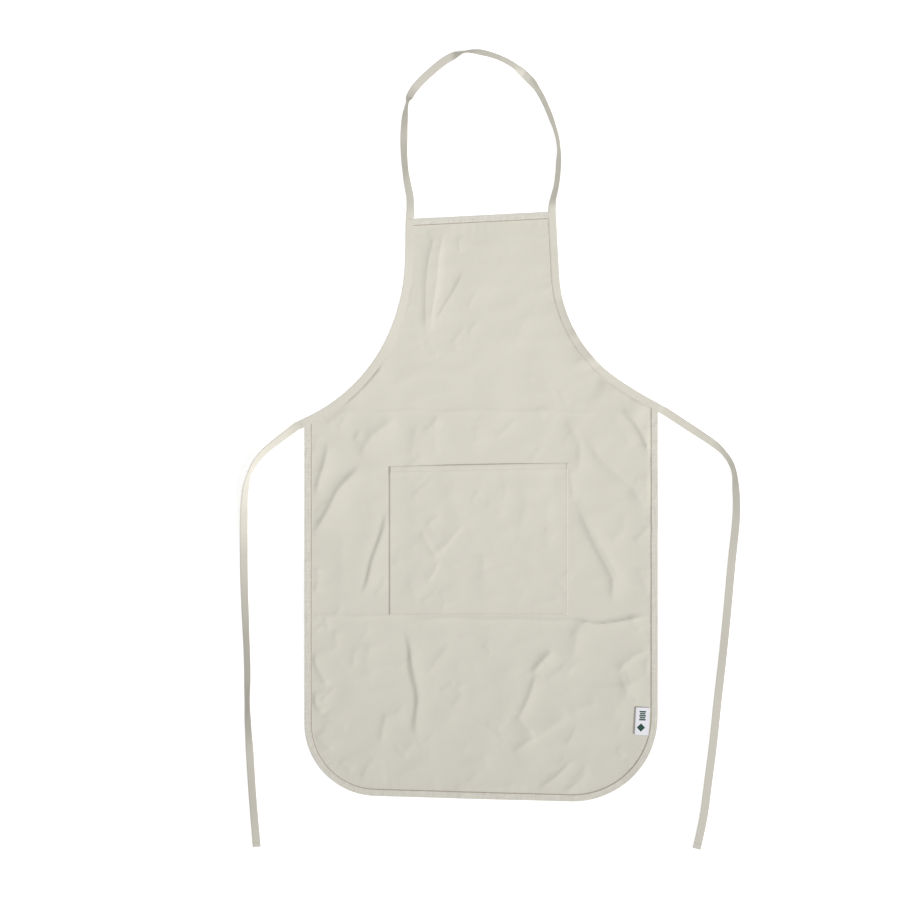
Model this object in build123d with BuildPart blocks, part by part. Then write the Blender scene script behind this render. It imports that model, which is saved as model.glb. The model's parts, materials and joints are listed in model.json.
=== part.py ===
"""A cotton bib apron laid flat on its back, front side up: panel, pocket, bindings, tapes, label and threads.

The origin is under the middle of the apron on the surface it lies on, +Y runs up towards the bib and
+Z is the front. Sizes are in millimetres.
"""

import math
import os
from collections import namedtuple

from build123d import *

os.makedirs("parts", exist_ok=True)

# ---- driving dimensions -------------------------------------------------------------------------
APRON_WIDTH = 512.0
APRON_LENGTH = 855.0
CANVAS = 0.5  # thickness of the panel's and the pocket's cloth
LEAF = 0.55  # one folded side of a tape or binding, which wraps the panel's edge
WEB = 0.6  # the cloth round the outside of a wrapped edge
WRAPPED = LEAF + CANVAS + LEAF  # height of a wrapped edge

HEM_TILT = -1.61  # degrees, the lower edge runs down to the right as the apron lies
HEM_LEFT_RADIUS = 105.0
HEM_RIGHT_RADIUS = 123.0
BIB_TILT = 2.87  # degrees, the bib's top edge runs up to the right
EDGE_BAND = 9.7  # width of the binding round the skirt
BIB_BAND = 10.4  # width of the binding along the bib's top

TAPE_WIDTH = 11.5
TAPE_THICKNESS = 1.1  # a free tape: four layers of thin cotton, sewn shut
STUB = 14.0  # how far the armhole tapes reach past the armhole's end to the ties' pivots
TIE_ROOT_GAP = 0.4
LOOP_ROOT_GAP = 0.4

# One armhole, from the bib's top corner down: a straight that leans outwards, a round, and a flatter
# round to the waist point on the apron's side.
Armhole = namedtuple("Armhole", "side corner_x lean straight radius turn waist_y")
LEFT = Armhole(side=-1, corner_x=109.5, lean=0.7, straight=56.0, radius=280.0, turn=22.7, waist_y=128.0)
RIGHT = Armhole(side=1, corner_x=108.2, lean=3.0, straight=93.0, radius=192.0, turn=52.0, waist_y=150.0)

POCKET_WIDTH = 259.0
POCKET_LEFT_DEPTH = 214.0
POCKET_RIGHT_DEPTH = 219.0
POCKET_X = -4.0
POCKET_BOTTOM_Y = -156.6
POCKET_MARGIN = 9.0  # the flat, sewn edge of the pocket
POCKET_SLOPE = 12.0  # degrees, how the pocket's cloth rises from its seams
POCKET_ROOM = 5.7  # clear height under the pocket's front, which bags open a little
POCKET_HEM = 12.0  # depth of the cloth turned in behind the pocket's mouth
POCKET_HEM_SEAM = 7.0  # stitch line below the pocket's mouth
POCKET_SEAM = 2.0  # stitch line from the pocket's sewn edges

LABEL_WIDTH = 20.0
LABEL_LENGTH = 40.0
LABEL_LEAF = 0.25
LABEL_FOLD_GAP = 0.3
LABEL_Y = -312.5
LABEL_TILT = -2.7  # degrees
LABEL_SEAM_GAP = 3.2  # from the binding's inner edge to the label's root
LABEL_LIFT = 0.3  # clearance under the label
LABEL_AXIS_OUT = 1.0  # the label's turning line, past its root
LABEL_AXIS_HEIGHT = 2.5
PRINT = 0.1
PRINT_DROP = 9.5  # the diamond's middle, below the label's
PRINT_DIAMOND = 5.0
PRINT_BARS = 4
PRINT_BAR = 8.5
PRINT_PITCH = 4.0

THREAD = 0.4
THREAD_HEIGHT = 0.25
EDGE_SEAM = 1.3  # stitch line from a binding's inner edge
TAPE_SEAM = 1.6  # stitch line from a tape's edge
TACK_LENGTH = 7.0
TACK_WIDTH = 1.4

# The tapes' routes as they lie, each a list of corners that its bends round off.
LOOP_ROUTE = [
    (-103.9, 410), (-101, 440), (-108, 472), (-112, 505), (-112, 545), (-109, 582), (-98, 606),
    (-72, 631), (-47, 651), (-17, 661), (22, 653), (55, 635), (82, 606), (101, 565), (113, 526),
    (112, 490), (109, 463), (102.6, 441), (102.4, 421),
]
LEFT_TIE_ROUTE = [
    (-266.4, 117), (-291, 98), (-318, 77), (-335, 52), (-343, 18), (-344, -30), (-344, -95),
    (-341, -170), (-338, -235), (-339, -290), (-335, -360), (-331, -425), (-325, -493),
]
RIGHT_TIE_ROUTE = [
    (265.7, 138.4), (292, 121), (318, 104), (346, 85), (365, 60), (369, 25), (370, -15), (363, -75),
    (357, -145), (350, -215), (342, -285), (336, -345), (328, -405), (322, -455), (312, -496),
]
BEND_SHARE = 0.45  # of the shorter run that a bend takes up

# ---- places worked out from them ----------------------------------------------------------------
HALF_WIDTH = APRON_WIDTH / 2
HALF_TAPE = TAPE_WIDTH / 2
HEM_SLOPE = math.tan(math.radians(HEM_TILT))
BIB_SLOPE = math.tan(math.radians(BIB_TILT))
BIB_LINE_Y = APRON_LENGTH / 2 - RIGHT.corner_x * BIB_SLOPE  # the bib's top edge at x = 0
# The hem line's height at the left side, so that the right corner's round just reaches the bottom.
HEM_LEFT_Y = (
    -APRON_LENGTH / 2
    + HEM_RIGHT_RADIUS * (1 - math.hypot(1, HEM_SLOPE))
    - (APRON_WIDTH - HEM_RIGHT_RADIUS) * HEM_SLOPE
)
OUTSIDE = 60.0  # how far cutting shapes reach past the cloth
ABOVE = 5.0  # how far a tape is drawn past the bib's top before it is trimmed there
CANVAS_TOP = LEAF + CANVAS
BIB_TOP = Plane(
    origin=(0, BIB_LINE_Y, 0),
    x_dir=(1, BIB_SLOPE, 0),
    z_dir=(-math.sin(math.radians(BIB_TILT)), math.cos(math.radians(BIB_TILT)), 0),
)
LOOP_AXIS_HEIGHT = WRAPPED + THREAD_HEIGHT + 0.6
TIE_ROOT_ROOM = HALF_TAPE * math.sqrt(2) + TIE_ROOT_GAP  # keeps a tie's root clear as it swings


def bib_line(x):
    """Height of the bib's top edge at x."""
    return BIB_LINE_Y + x * BIB_SLOPE


def armhole(hole, inset, below=0.0, above=0.0):
    """An armhole's line moved inwards by inset, run on past the bib's top and past the waist."""
    down = Vector(hole.side * math.sin(math.radians(hole.lean)), -math.cos(math.radians(hole.lean)))
    inwards = Vector(-hole.side, 0) - down * (Vector(-hole.side, 0).dot(down))
    corner = Vector(hole.side * hole.corner_x, bib_line(hole.side * hole.corner_x))
    start = corner + inwards.normalized() * inset
    waist = Vector(hole.side * HALF_WIDTH, hole.waist_y)
    with BuildLine(mode=Mode.PRIVATE) as edge:
        straight = Line(corner, corner + down * hole.straight)
        JernArc(straight @ 1, down, hole.radius, hole.side * hole.turn)
    end, heading = edge.line.edges()[1] @ 1, edge.line.edges()[1] % 1
    chord = waist - end
    across = heading.cross(Vector(0, 0, -hole.side)).dot(chord)
    last_radius = abs(chord.length**2 / (2 * across))
    last_turn = 2 * math.degrees(math.atan2(abs(across), heading.dot(chord)))
    with BuildLine(mode=Mode.PRIVATE) as line:
        straight = Line(start - down * above, start + down * hole.straight)
        first = JernArc(straight @ 1, down, hole.radius + inset, hole.side * hole.turn)
        last = JernArc(first @ 1, first % 1, last_radius + inset, hole.side * last_turn)
        if below:
            Line(last @ 1, last @ 1 + (last % 1) * below)
    return line.line


def between_armholes(inset):
    """The region between the two armhole lines, open at the bib and down past the hem."""
    left = armhole(LEFT, inset, OUTSIDE * 2, OUTSIDE)
    right = armhole(RIGHT, inset, OUTSIDE * 2, OUTSIDE)
    foot = -APRON_LENGTH
    left_end, right_end = left.edges()[-1] @ 1, right.edges()[-1] @ 1
    with BuildSketch(mode=Mode.PRIVATE) as region:
        with BuildLine():
            add(left)
            add(right)
            Line(left.edges()[0] @ 0, right.edges()[0] @ 0)
            Polyline(left_end, (left_end.X, foot), (right_end.X, foot), right_end)
        make_face()
    return region.sketch


def envelope(edge_inset, top_inset):
    """The apron's outline without its armholes: straight sides, round lower corners, tilted hem and top."""
    side = HALF_WIDTH - edge_inset
    hem_rise = edge_inset * math.hypot(1, HEM_SLOPE)
    top_drop = top_inset * math.hypot(1, BIB_SLOPE)
    corners = [
        (-side, HEM_LEFT_Y + edge_inset * HEM_SLOPE + hem_rise),
        (side, HEM_LEFT_Y + (APRON_WIDTH - edge_inset) * HEM_SLOPE + hem_rise),
        (side, bib_line(side) - top_drop),
        (-side, bib_line(-side) - top_drop),
    ]
    with BuildSketch(mode=Mode.PRIVATE) as outline:
        with BuildLine():
            FilletPolyline(
                corners, radius=[HEM_LEFT_RADIUS - edge_inset, HEM_RIGHT_RADIUS - edge_inset, 0, 0], close=True
            )
        make_face()
    return outline.sketch


def route_line(points):
    """A tape's centreline: its runs, joined by arcs as large as the runs allow."""
    corners = [Vector(x, y) for x, y in points]
    runs = [b - a for a, b in zip(corners, corners[1:])]
    radii = []
    for before, after in zip(runs, runs[1:]):
        half_turn = math.radians(before.get_angle(after)) / 2
        radii.append(BEND_SHARE * min(before.length, after.length) / math.tan(half_turn))
    with BuildLine(mode=Mode.PRIVATE) as line:
        FilletPolyline(corners, radius=radii)
    return line.line, radii


def strip_along(line, width, low, high, across=0.0):
    """A flat strip swept along a line on the surface; across shifts it to the line's left."""
    first = line.edges()[0]
    heading = first % 0
    section_plane = Plane(origin=first @ 0, x_dir=Vector(0, 0, 1).cross(heading), z_dir=heading)
    with BuildPart(mode=Mode.PRIVATE) as strip:
        with BuildSketch(section_plane):
            with Locations((across, (low + high) / 2)):
                Rectangle(width, high - low)
        sweep(path=Wire(line.edges()))
    return strip.part


def pivot(hole):
    """Where a tie turns: on the tape's centreline, a stub's length past the armhole's end."""
    return armhole(hole, HALF_TAPE, STUB).edges()[-1] @ 1


# ---- panel and its wrapped edges ----------------------------------------------------------------
with BuildPart() as body_panel:
    with BuildSketch(Plane.XY.offset(LEAF)):
        add(envelope(WEB, WEB))
        add(between_armholes(WEB), mode=Mode.INTERSECT)
    extrude(amount=CANVAS)
body_panel.part.label = "body_panel"

with BuildPart() as skirt_edge_binding:
    with BuildSketch():
        add(envelope(0, 0))
        add(envelope(EDGE_BAND, 0), mode=Mode.SUBTRACT)
        add(between_armholes(TAPE_WIDTH), mode=Mode.INTERSECT)
    extrude(amount=WRAPPED)
    add(body_panel.part, mode=Mode.SUBTRACT)
skirt_edge_binding.part.label = "skirt_edge_binding"

with BuildPart() as bib_top_binding:
    with BuildSketch():
        add(envelope(0, 0))
        add(envelope(0, BIB_BAND), mode=Mode.SUBTRACT)
        add(between_armholes(TAPE_WIDTH), mode=Mode.INTERSECT)
    extrude(amount=WRAPPED)
    add(body_panel.part, mode=Mode.SUBTRACT)
bib_top_binding.part.label = "bib_top_binding"


def armhole_tape(hole):
    """The tape folded over one armhole's edge, with the stub that its tie turns on."""
    hinge = pivot(hole)
    with BuildPart() as tape:
        add(strip_along(armhole(hole, HALF_TAPE, STUB, ABOVE), TAPE_WIDTH, 0, WRAPPED))
        split(bisect_by=BIB_TOP, keep=Keep.BOTTOM)
        add(body_panel.part, mode=Mode.SUBTRACT)
        with BuildSketch():
            with Locations((hinge.X, hinge.Y)):
                Circle(TIE_ROOT_ROOM)
        extrude(amount=WRAPPED, mode=Mode.SUBTRACT)
    return tape.part


left_armhole_tape = armhole_tape(LEFT)
left_armhole_tape.label = "left_armhole_tape"
right_armhole_tape = armhole_tape(RIGHT)
right_armhole_tape.label = "right_armhole_tape"

# ---- free tapes ---------------------------------------------------------------------------------
loop_line, loop_radii = route_line(LOOP_ROUTE)
with BuildPart() as neck_loop:
    add(strip_along(loop_line, TAPE_WIDTH, 0, TAPE_THICKNESS))
    split(bisect_by=BIB_TOP.offset(LOOP_ROOT_GAP), keep=Keep.TOP)
neck_loop.part.label = "neck_loop"


def tie(points):
    """A waist tie: a flat tape with a round root on its pivot."""
    line, radii = route_line(points)
    with BuildPart() as tape:
        add(strip_along(line, TAPE_WIDTH, 0, TAPE_THICKNESS))
        with BuildSketch():
            with Locations(points[0]):
                Circle(HALF_TAPE)
        extrude(amount=TAPE_THICKNESS)
    return tape.part, line, radii


left_tie, left_tie_line, left_tie_radii = tie(LEFT_TIE_ROUTE)
left_tie.label = "left_tie"
right_tie, right_tie_line, right_tie_radii = tie(RIGHT_TIE_ROUTE)
right_tie.label = "right_tie"

# ---- pocket -------------------------------------------------------------------------------------
HALF_POCKET = POCKET_WIDTH / 2
POCKET_CORNERS = [
    (POCKET_X - HALF_POCKET, POCKET_BOTTOM_Y),
    (POCKET_X + HALF_POCKET, POCKET_BOTTOM_Y),
    (POCKET_X + HALF_POCKET, POCKET_BOTTOM_Y + POCKET_RIGHT_DEPTH),
    (POCKET_X - HALF_POCKET, POCKET_BOTTOM_Y + POCKET_LEFT_DEPTH),
]
MOUTH_SLOPE = (POCKET_RIGHT_DEPTH - POCKET_LEFT_DEPTH) / POCKET_WIDTH
RISE = math.tan(math.radians(POCKET_SLOPE))
POCKET_TOP = CANVAS_TOP + POCKET_ROOM + CANVAS  # height of the pocket's front at its fullest
WALL_SHIFT = CANVAS / math.sin(math.radians(POCKET_SLOPE))  # the sloped wall's thickness, seen from above


def pocket_outline(inset, past_mouth=0.0):
    """The pocket's outline drawn in by inset at its three sewn sides, and run out past its mouth."""
    left, right = POCKET_X - HALF_POCKET + inset, POCKET_X + HALF_POCKET - inset
    mouth = POCKET_BOTTOM_Y + POCKET_LEFT_DEPTH + past_mouth
    with BuildSketch(mode=Mode.PRIVATE) as outline:
        with BuildLine():
            Polyline(
                (left, POCKET_BOTTOM_Y + inset),
                (right, POCKET_BOTTOM_Y + inset),
                (right, mouth + (POCKET_WIDTH - inset) * MOUTH_SLOPE),
                (left, mouth + inset * MOUTH_SLOPE),
                close=True,
            )
        make_face()
    return outline.sketch


def pocket_rise(inset, height, past_mouth=0.0):
    """Lofts the raised middle of the pocket, from a sewn line up to the flat top, open-ended at its mouth."""
    with BuildPart(mode=Mode.PRIVATE) as rise:
        with BuildSketch(Plane.XY.offset(CANVAS_TOP)):
            add(pocket_outline(inset, past_mouth))
        with BuildSketch(Plane.XY.offset(CANVAS_TOP + height)):
            add(pocket_outline(inset + height / RISE, past_mouth))
        loft()
    return rise.part


with BuildPart() as pocket_panel:
    with BuildSketch(Plane.XY.offset(CANVAS_TOP)):
        add(pocket_outline(0))
    extrude(amount=CANVAS)
    add(pocket_rise(POCKET_MARGIN - WALL_SHIFT, POCKET_ROOM + CANVAS))
    add(pocket_rise(POCKET_MARGIN, POCKET_ROOM), mode=Mode.SUBTRACT)
    # The cloth turned in behind the mouth.
    with BuildSketch(Plane.XY.offset(CANVAS_TOP + POCKET_ROOM - CANVAS)):
        add(pocket_outline(POCKET_MARGIN + POCKET_ROOM / RISE))
        add(pocket_outline(0, -POCKET_HEM), mode=Mode.SUBTRACT)
    extrude(amount=CANVAS)
pocket_panel.part.label = "pocket_panel"

# ---- label --------------------------------------------------------------------------------------
LABEL_ROOT_X = HALF_WIDTH - EDGE_BAND - LABEL_SEAM_GAP
LABEL_LOW = CANVAS_TOP + LABEL_LIFT
LABEL_HIGH = LABEL_LOW + 2 * LABEL_LEAF + LABEL_FOLD_GAP
LABEL_CENTRE = (LABEL_ROOT_X - LABEL_WIDTH / 2, LABEL_Y)

with BuildPart() as side_label:
    with BuildSketch(Plane.XY.offset(LABEL_LOW)):
        with Locations(Location(LABEL_CENTRE, LABEL_TILT)):
            Rectangle(LABEL_WIDTH, LABEL_LENGTH)
    extrude(amount=LABEL_HIGH - LABEL_LOW)
    # The ribbon is folded in half, so its two leaves are parted as far as the fold.
    with BuildSketch(Plane.XY.offset(LABEL_LOW + LABEL_LEAF)):
        with Locations(Location(LABEL_CENTRE, LABEL_TILT)):
            with Locations((LABEL_LEAF * 2, 0)):
                Rectangle(LABEL_WIDTH, LABEL_LENGTH * 2)
    extrude(amount=LABEL_FOLD_GAP, mode=Mode.SUBTRACT)
side_label.part.label = "side_label"

with BuildPart() as label_print:
    with BuildSketch(Plane.XY.offset(LABEL_HIGH)):
        with Locations(Location(LABEL_CENTRE, LABEL_TILT)):
            with Locations((0, -PRINT_DROP)):
                RegularPolygon(PRINT_DIAMOND, 4, rotation=90)
            with Locations((0, PRINT_DROP / 2)):
                with GridLocations(0, PRINT_PITCH, 1, PRINT_BARS):
                    Rectangle(PRINT_BAR, PRINT_PITCH / 2)
    extrude(amount=PRINT)
label_print.part.label = "label_print"

# ---- threads: each seam is one thin raised line of thread ---------------------------------------
ON_EDGE = Plane.XY.offset(WRAPPED)

with BuildPart() as skirt_edge_stitching:
    with BuildSketch(ON_EDGE):
        add(envelope(EDGE_BAND - EDGE_SEAM - THREAD, 0))
        add(envelope(EDGE_BAND - EDGE_SEAM, 0), mode=Mode.SUBTRACT)
        add(between_armholes(TAPE_WIDTH + THREAD), mode=Mode.INTERSECT)
    extrude(amount=THREAD_HEIGHT)
skirt_edge_stitching.part.label = "skirt_edge_stitching"

with BuildPart() as bib_top_stitching:
    with BuildSketch(ON_EDGE):
        add(envelope(0, BIB_BAND - EDGE_SEAM - THREAD))
        add(envelope(0, BIB_BAND - EDGE_SEAM), mode=Mode.SUBTRACT)
        add(between_armholes(TAPE_WIDTH + THREAD), mode=Mode.INTERSECT)
    extrude(amount=THREAD_HEIGHT)
bib_top_stitching.part.label = "bib_top_stitching"


def armhole_stitching(hole):
    """The thread along the inner edge of one armhole's tape, from the bib's top to the apron's side."""
    with BuildPart() as seam:
        add(strip_along(armhole(hole, TAPE_WIDTH - TAPE_SEAM), THREAD, WRAPPED, WRAPPED + THREAD_HEIGHT))
        split(bisect_by=BIB_TOP.offset(-THREAD), keep=Keep.BOTTOM)
    return seam.part


left_armhole_stitching = armhole_stitching(LEFT)
left_armhole_stitching.label = "left_armhole_stitching"
right_armhole_stitching = armhole_stitching(RIGHT)
right_armhole_stitching.label = "right_armhole_stitching"


def free_tape_stitching(line, across):
    """The thread that sews a free tape shut, near the edge on the given side."""
    return strip_along(line, THREAD, TAPE_THICKNESS, TAPE_THICKNESS + THREAD_HEIGHT, across)


with BuildPart() as neck_loop_stitching:
    add(free_tape_stitching(loop_line, TAPE_SEAM - HALF_TAPE))
    split(bisect_by=BIB_TOP.offset(LOOP_ROOT_GAP), keep=Keep.TOP)
neck_loop_stitching.part.label = "neck_loop_stitching"

left_tie_stitching = free_tape_stitching(left_tie_line, HALF_TAPE - TAPE_SEAM)
left_tie_stitching.label = "left_tie_stitching"
right_tie_stitching = free_tape_stitching(right_tie_line, TAPE_SEAM - HALF_TAPE)
right_tie_stitching.label = "right_tie_stitching"


def tie_end_tack(line, across):
    """The short seam that holds a tie's turned-under end, clear of the tape's own seam."""
    end = line.edges()[-1]
    heading = end % 1
    spot = (end @ 1) - heading * TACK_LENGTH
    tack_plane = Plane(origin=(spot.X, spot.Y, TAPE_THICKNESS), x_dir=heading, z_dir=(0, 0, 1))
    with BuildPart() as tack:
        with BuildSketch(tack_plane):
            with Locations((0, across)):
                Rectangle(THREAD, TAPE_WIDTH - 3 * TAPE_SEAM)
        extrude(amount=THREAD_HEIGHT)
    return tack.part


left_tie_end_tack = tie_end_tack(left_tie_line, -TAPE_SEAM / 2)
left_tie_end_tack.label = "left_tie_end_tack"
right_tie_end_tack = tie_end_tack(right_tie_line, TAPE_SEAM / 2)
right_tie_end_tack.label = "right_tie_end_tack"

with BuildPart() as pocket_seam_stitching:
    with BuildSketch(Plane.XY.offset(CANVAS_TOP + CANVAS)):
        add(pocket_outline(POCKET_SEAM, -TACK_LENGTH))
        add(pocket_outline(POCKET_SEAM + THREAD), mode=Mode.SUBTRACT)
    extrude(amount=THREAD_HEIGHT)
pocket_seam_stitching.part.label = "pocket_seam_stitching"

with BuildPart() as pocket_hem_stitching:
    with BuildSketch(Plane.XY.offset(POCKET_TOP)):
        add(pocket_outline(POCKET_MARGIN + POCKET_ROOM / RISE, -POCKET_HEM_SEAM))
        add(pocket_outline(0, -POCKET_HEM_SEAM - THREAD), mode=Mode.SUBTRACT)
    extrude(amount=THREAD_HEIGHT)
pocket_hem_stitching.part.label = "pocket_hem_stitching"

with BuildPart() as pocket_corner_tacks:
    for x, mouth_y in (
        (POCKET_X - HALF_POCKET + POCKET_SEAM, POCKET_BOTTOM_Y + POCKET_LEFT_DEPTH),
        (POCKET_X + HALF_POCKET - POCKET_SEAM, POCKET_BOTTOM_Y + POCKET_RIGHT_DEPTH),
    ):
        with BuildSketch(Plane.XY.offset(CANVAS_TOP + CANVAS)):
            with Locations((x, mouth_y - TACK_LENGTH / 2)):
                Rectangle(TACK_WIDTH, TACK_LENGTH - 2 * THREAD)
        extrude(amount=THREAD_HEIGHT)
pocket_corner_tacks.part.label = "pocket_corner_tacks"

# ---- writing ------------------------------------------------------------------------------------
for piece in (
    body_panel.part,
    skirt_edge_binding.part,
    bib_top_binding.part,
    left_armhole_tape,
    right_armhole_tape,
    neck_loop.part,
    left_tie,
    right_tie,
    pocket_panel.part,
    side_label.part,
    label_print.part,
    skirt_edge_stitching.part,
    bib_top_stitching.part,
    left_armhole_stitching,
    right_armhole_stitching,
    neck_loop_stitching.part,
    left_tie_stitching,
    right_tie_stitching,
    left_tie_end_tack,
    right_tie_end_tack,
    pocket_seam_stitching.part,
    pocket_hem_stitching.part,
    pocket_corner_tacks.part,
):
    export_step(piece, f"parts/{piece.label}.step")

for name, line, radii, solid in (
    ("neck_loop", loop_line, loop_radii, neck_loop.part),
    ("left_tie", left_tie_line, left_tie_radii, left_tie),
    ("right_tie", right_tie_line, right_tie_radii, right_tie),
):
    section = TAPE_WIDTH * TAPE_THICKNESS
    length = sum(edge.length for edge in line.edges())
    print(f"{name}: length {length:.1f}, volume over section {solid.volume / section:.1f}")
    print("  bend radii", [round(radius) for radius in radii])
print("loop axis height", round(LOOP_AXIS_HEIGHT, 2), "at", BIB_TOP.origin)
print("tie pivots", pivot(LEFT), pivot(RIGHT))
print("label axis x", LABEL_ROOT_X + LABEL_AXIS_OUT, "height", LABEL_AXIS_HEIGHT)
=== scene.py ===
"""A natural cotton bib apron laid flat on its back, front side up.

Canvas, pocket, bindings, tapes, threads and label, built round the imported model.
"""

import json
import math
from collections import namedtuple

import bmesh
import bpy
import numpy as np
from mathutils import Matrix, Vector, kdtree


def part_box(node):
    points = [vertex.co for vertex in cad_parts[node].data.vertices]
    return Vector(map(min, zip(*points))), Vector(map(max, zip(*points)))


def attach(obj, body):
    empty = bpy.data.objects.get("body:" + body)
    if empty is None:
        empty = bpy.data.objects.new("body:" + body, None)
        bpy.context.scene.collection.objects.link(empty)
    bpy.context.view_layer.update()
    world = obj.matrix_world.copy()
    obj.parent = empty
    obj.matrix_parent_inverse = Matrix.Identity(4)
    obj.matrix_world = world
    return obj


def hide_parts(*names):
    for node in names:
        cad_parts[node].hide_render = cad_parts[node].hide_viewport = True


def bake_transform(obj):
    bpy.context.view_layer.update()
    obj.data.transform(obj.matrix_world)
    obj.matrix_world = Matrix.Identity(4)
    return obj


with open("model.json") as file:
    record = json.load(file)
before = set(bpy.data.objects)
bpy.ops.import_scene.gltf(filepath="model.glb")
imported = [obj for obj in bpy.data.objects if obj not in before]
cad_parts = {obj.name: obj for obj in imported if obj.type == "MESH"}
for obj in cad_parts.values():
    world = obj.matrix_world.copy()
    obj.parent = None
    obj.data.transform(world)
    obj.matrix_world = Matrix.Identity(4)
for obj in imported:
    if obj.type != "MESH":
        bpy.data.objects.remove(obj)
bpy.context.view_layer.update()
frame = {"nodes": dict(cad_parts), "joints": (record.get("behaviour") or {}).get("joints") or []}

bl_info = {
    "name": "Bib Apron",
    "version": (1, 0, 0),
    "blender": (4, 5, 0),
    "location": "View3D > Sidebar > Apron",
    "description": "Makes a laid-out cotton bib apron, piece by piece",
    "category": "Object",
}

MM = 0.001
CLEAR = 0.05 * MM  # the least gap left between a cloth and what it lies on
FLOOR_DROP = 0.3 * MM  # how far the floor lies below the apron's underside
EDGE_STEP = 2.5 * MM  # from one station to the next along the panel's edges
TAPE_LIFT_FADE = 60 * MM  # how far along a free tape the apron's own lie dies out
ARMHOLE_STUB = 14 * MM  # armhole tape past the panel's corner, down to the tie's root
ROOT_OVERLAP = 1.6 * MM  # how far a tie starts inside the armhole tape's end
TIE_BEND = (1 * MM, 10 * MM)  # how far before and past its root a tie's two bend points lie
LOOP_BEND = 12 * MM  # how far past the bib's top edge the neck loop's second bend point lies
CAMERA_OVER = (-0.0453, 0.0820)  # the place that the camera looks straight down on

AWAY_FROM_LIGHT = np.array([-0.84, 0.54])  # which way the shaded flank of a crease faces
CREST = 1.2  # how round a crease's crest is: 1 is a sharp ridge, 2 is a soft one
CREASE_STRENGTH = 1.3  # how strongly the panel and the pocket are creased

# ---- shapes, given in millimetres -----------------------------------------------------------------
# One crease: how high it stands, how wide its shaded (upper left) and lit (lower right) flanks are,
# and the points it runs through. A negative rise is a furrow.
Crease = namedtuple("Crease", "rise shade lit points")

# Broad lifts of the whole apron, with its bindings.
LIFTS = [
    Crease(2.2, 13, 15, [(-113, 395), (-117, 320), (-130, 262), (-152, 215)]),
    Crease(1.6, 15, 12, [(117, 380), (121, 340), (127, 300)]),
    Crease(2.6, 12, 12, [(126, 310), (136, 272), (151, 241), (173, 213), (208, 188)]),
    Crease(7.4, 15, 9, [(138, 310), (142, 274), (150, 238)]),
    Crease(7.0, 18, 9, [(153, 264), (158, 234), (169, 202)]),
    Crease(1.6, 22, 22, [(254, 60), (255, 0), (254, -50)]),
    Crease(1.3, 20, 22, [(-254, -60), (-255, -130), (-253, -190)]),
    Crease(1.8, 16, 18, [(205, -408), (236, -390), (254, -345)]),
    Crease(1.2, 24, 26, [(-60, -420), (10, -424), (70, -426)]),
]

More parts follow.
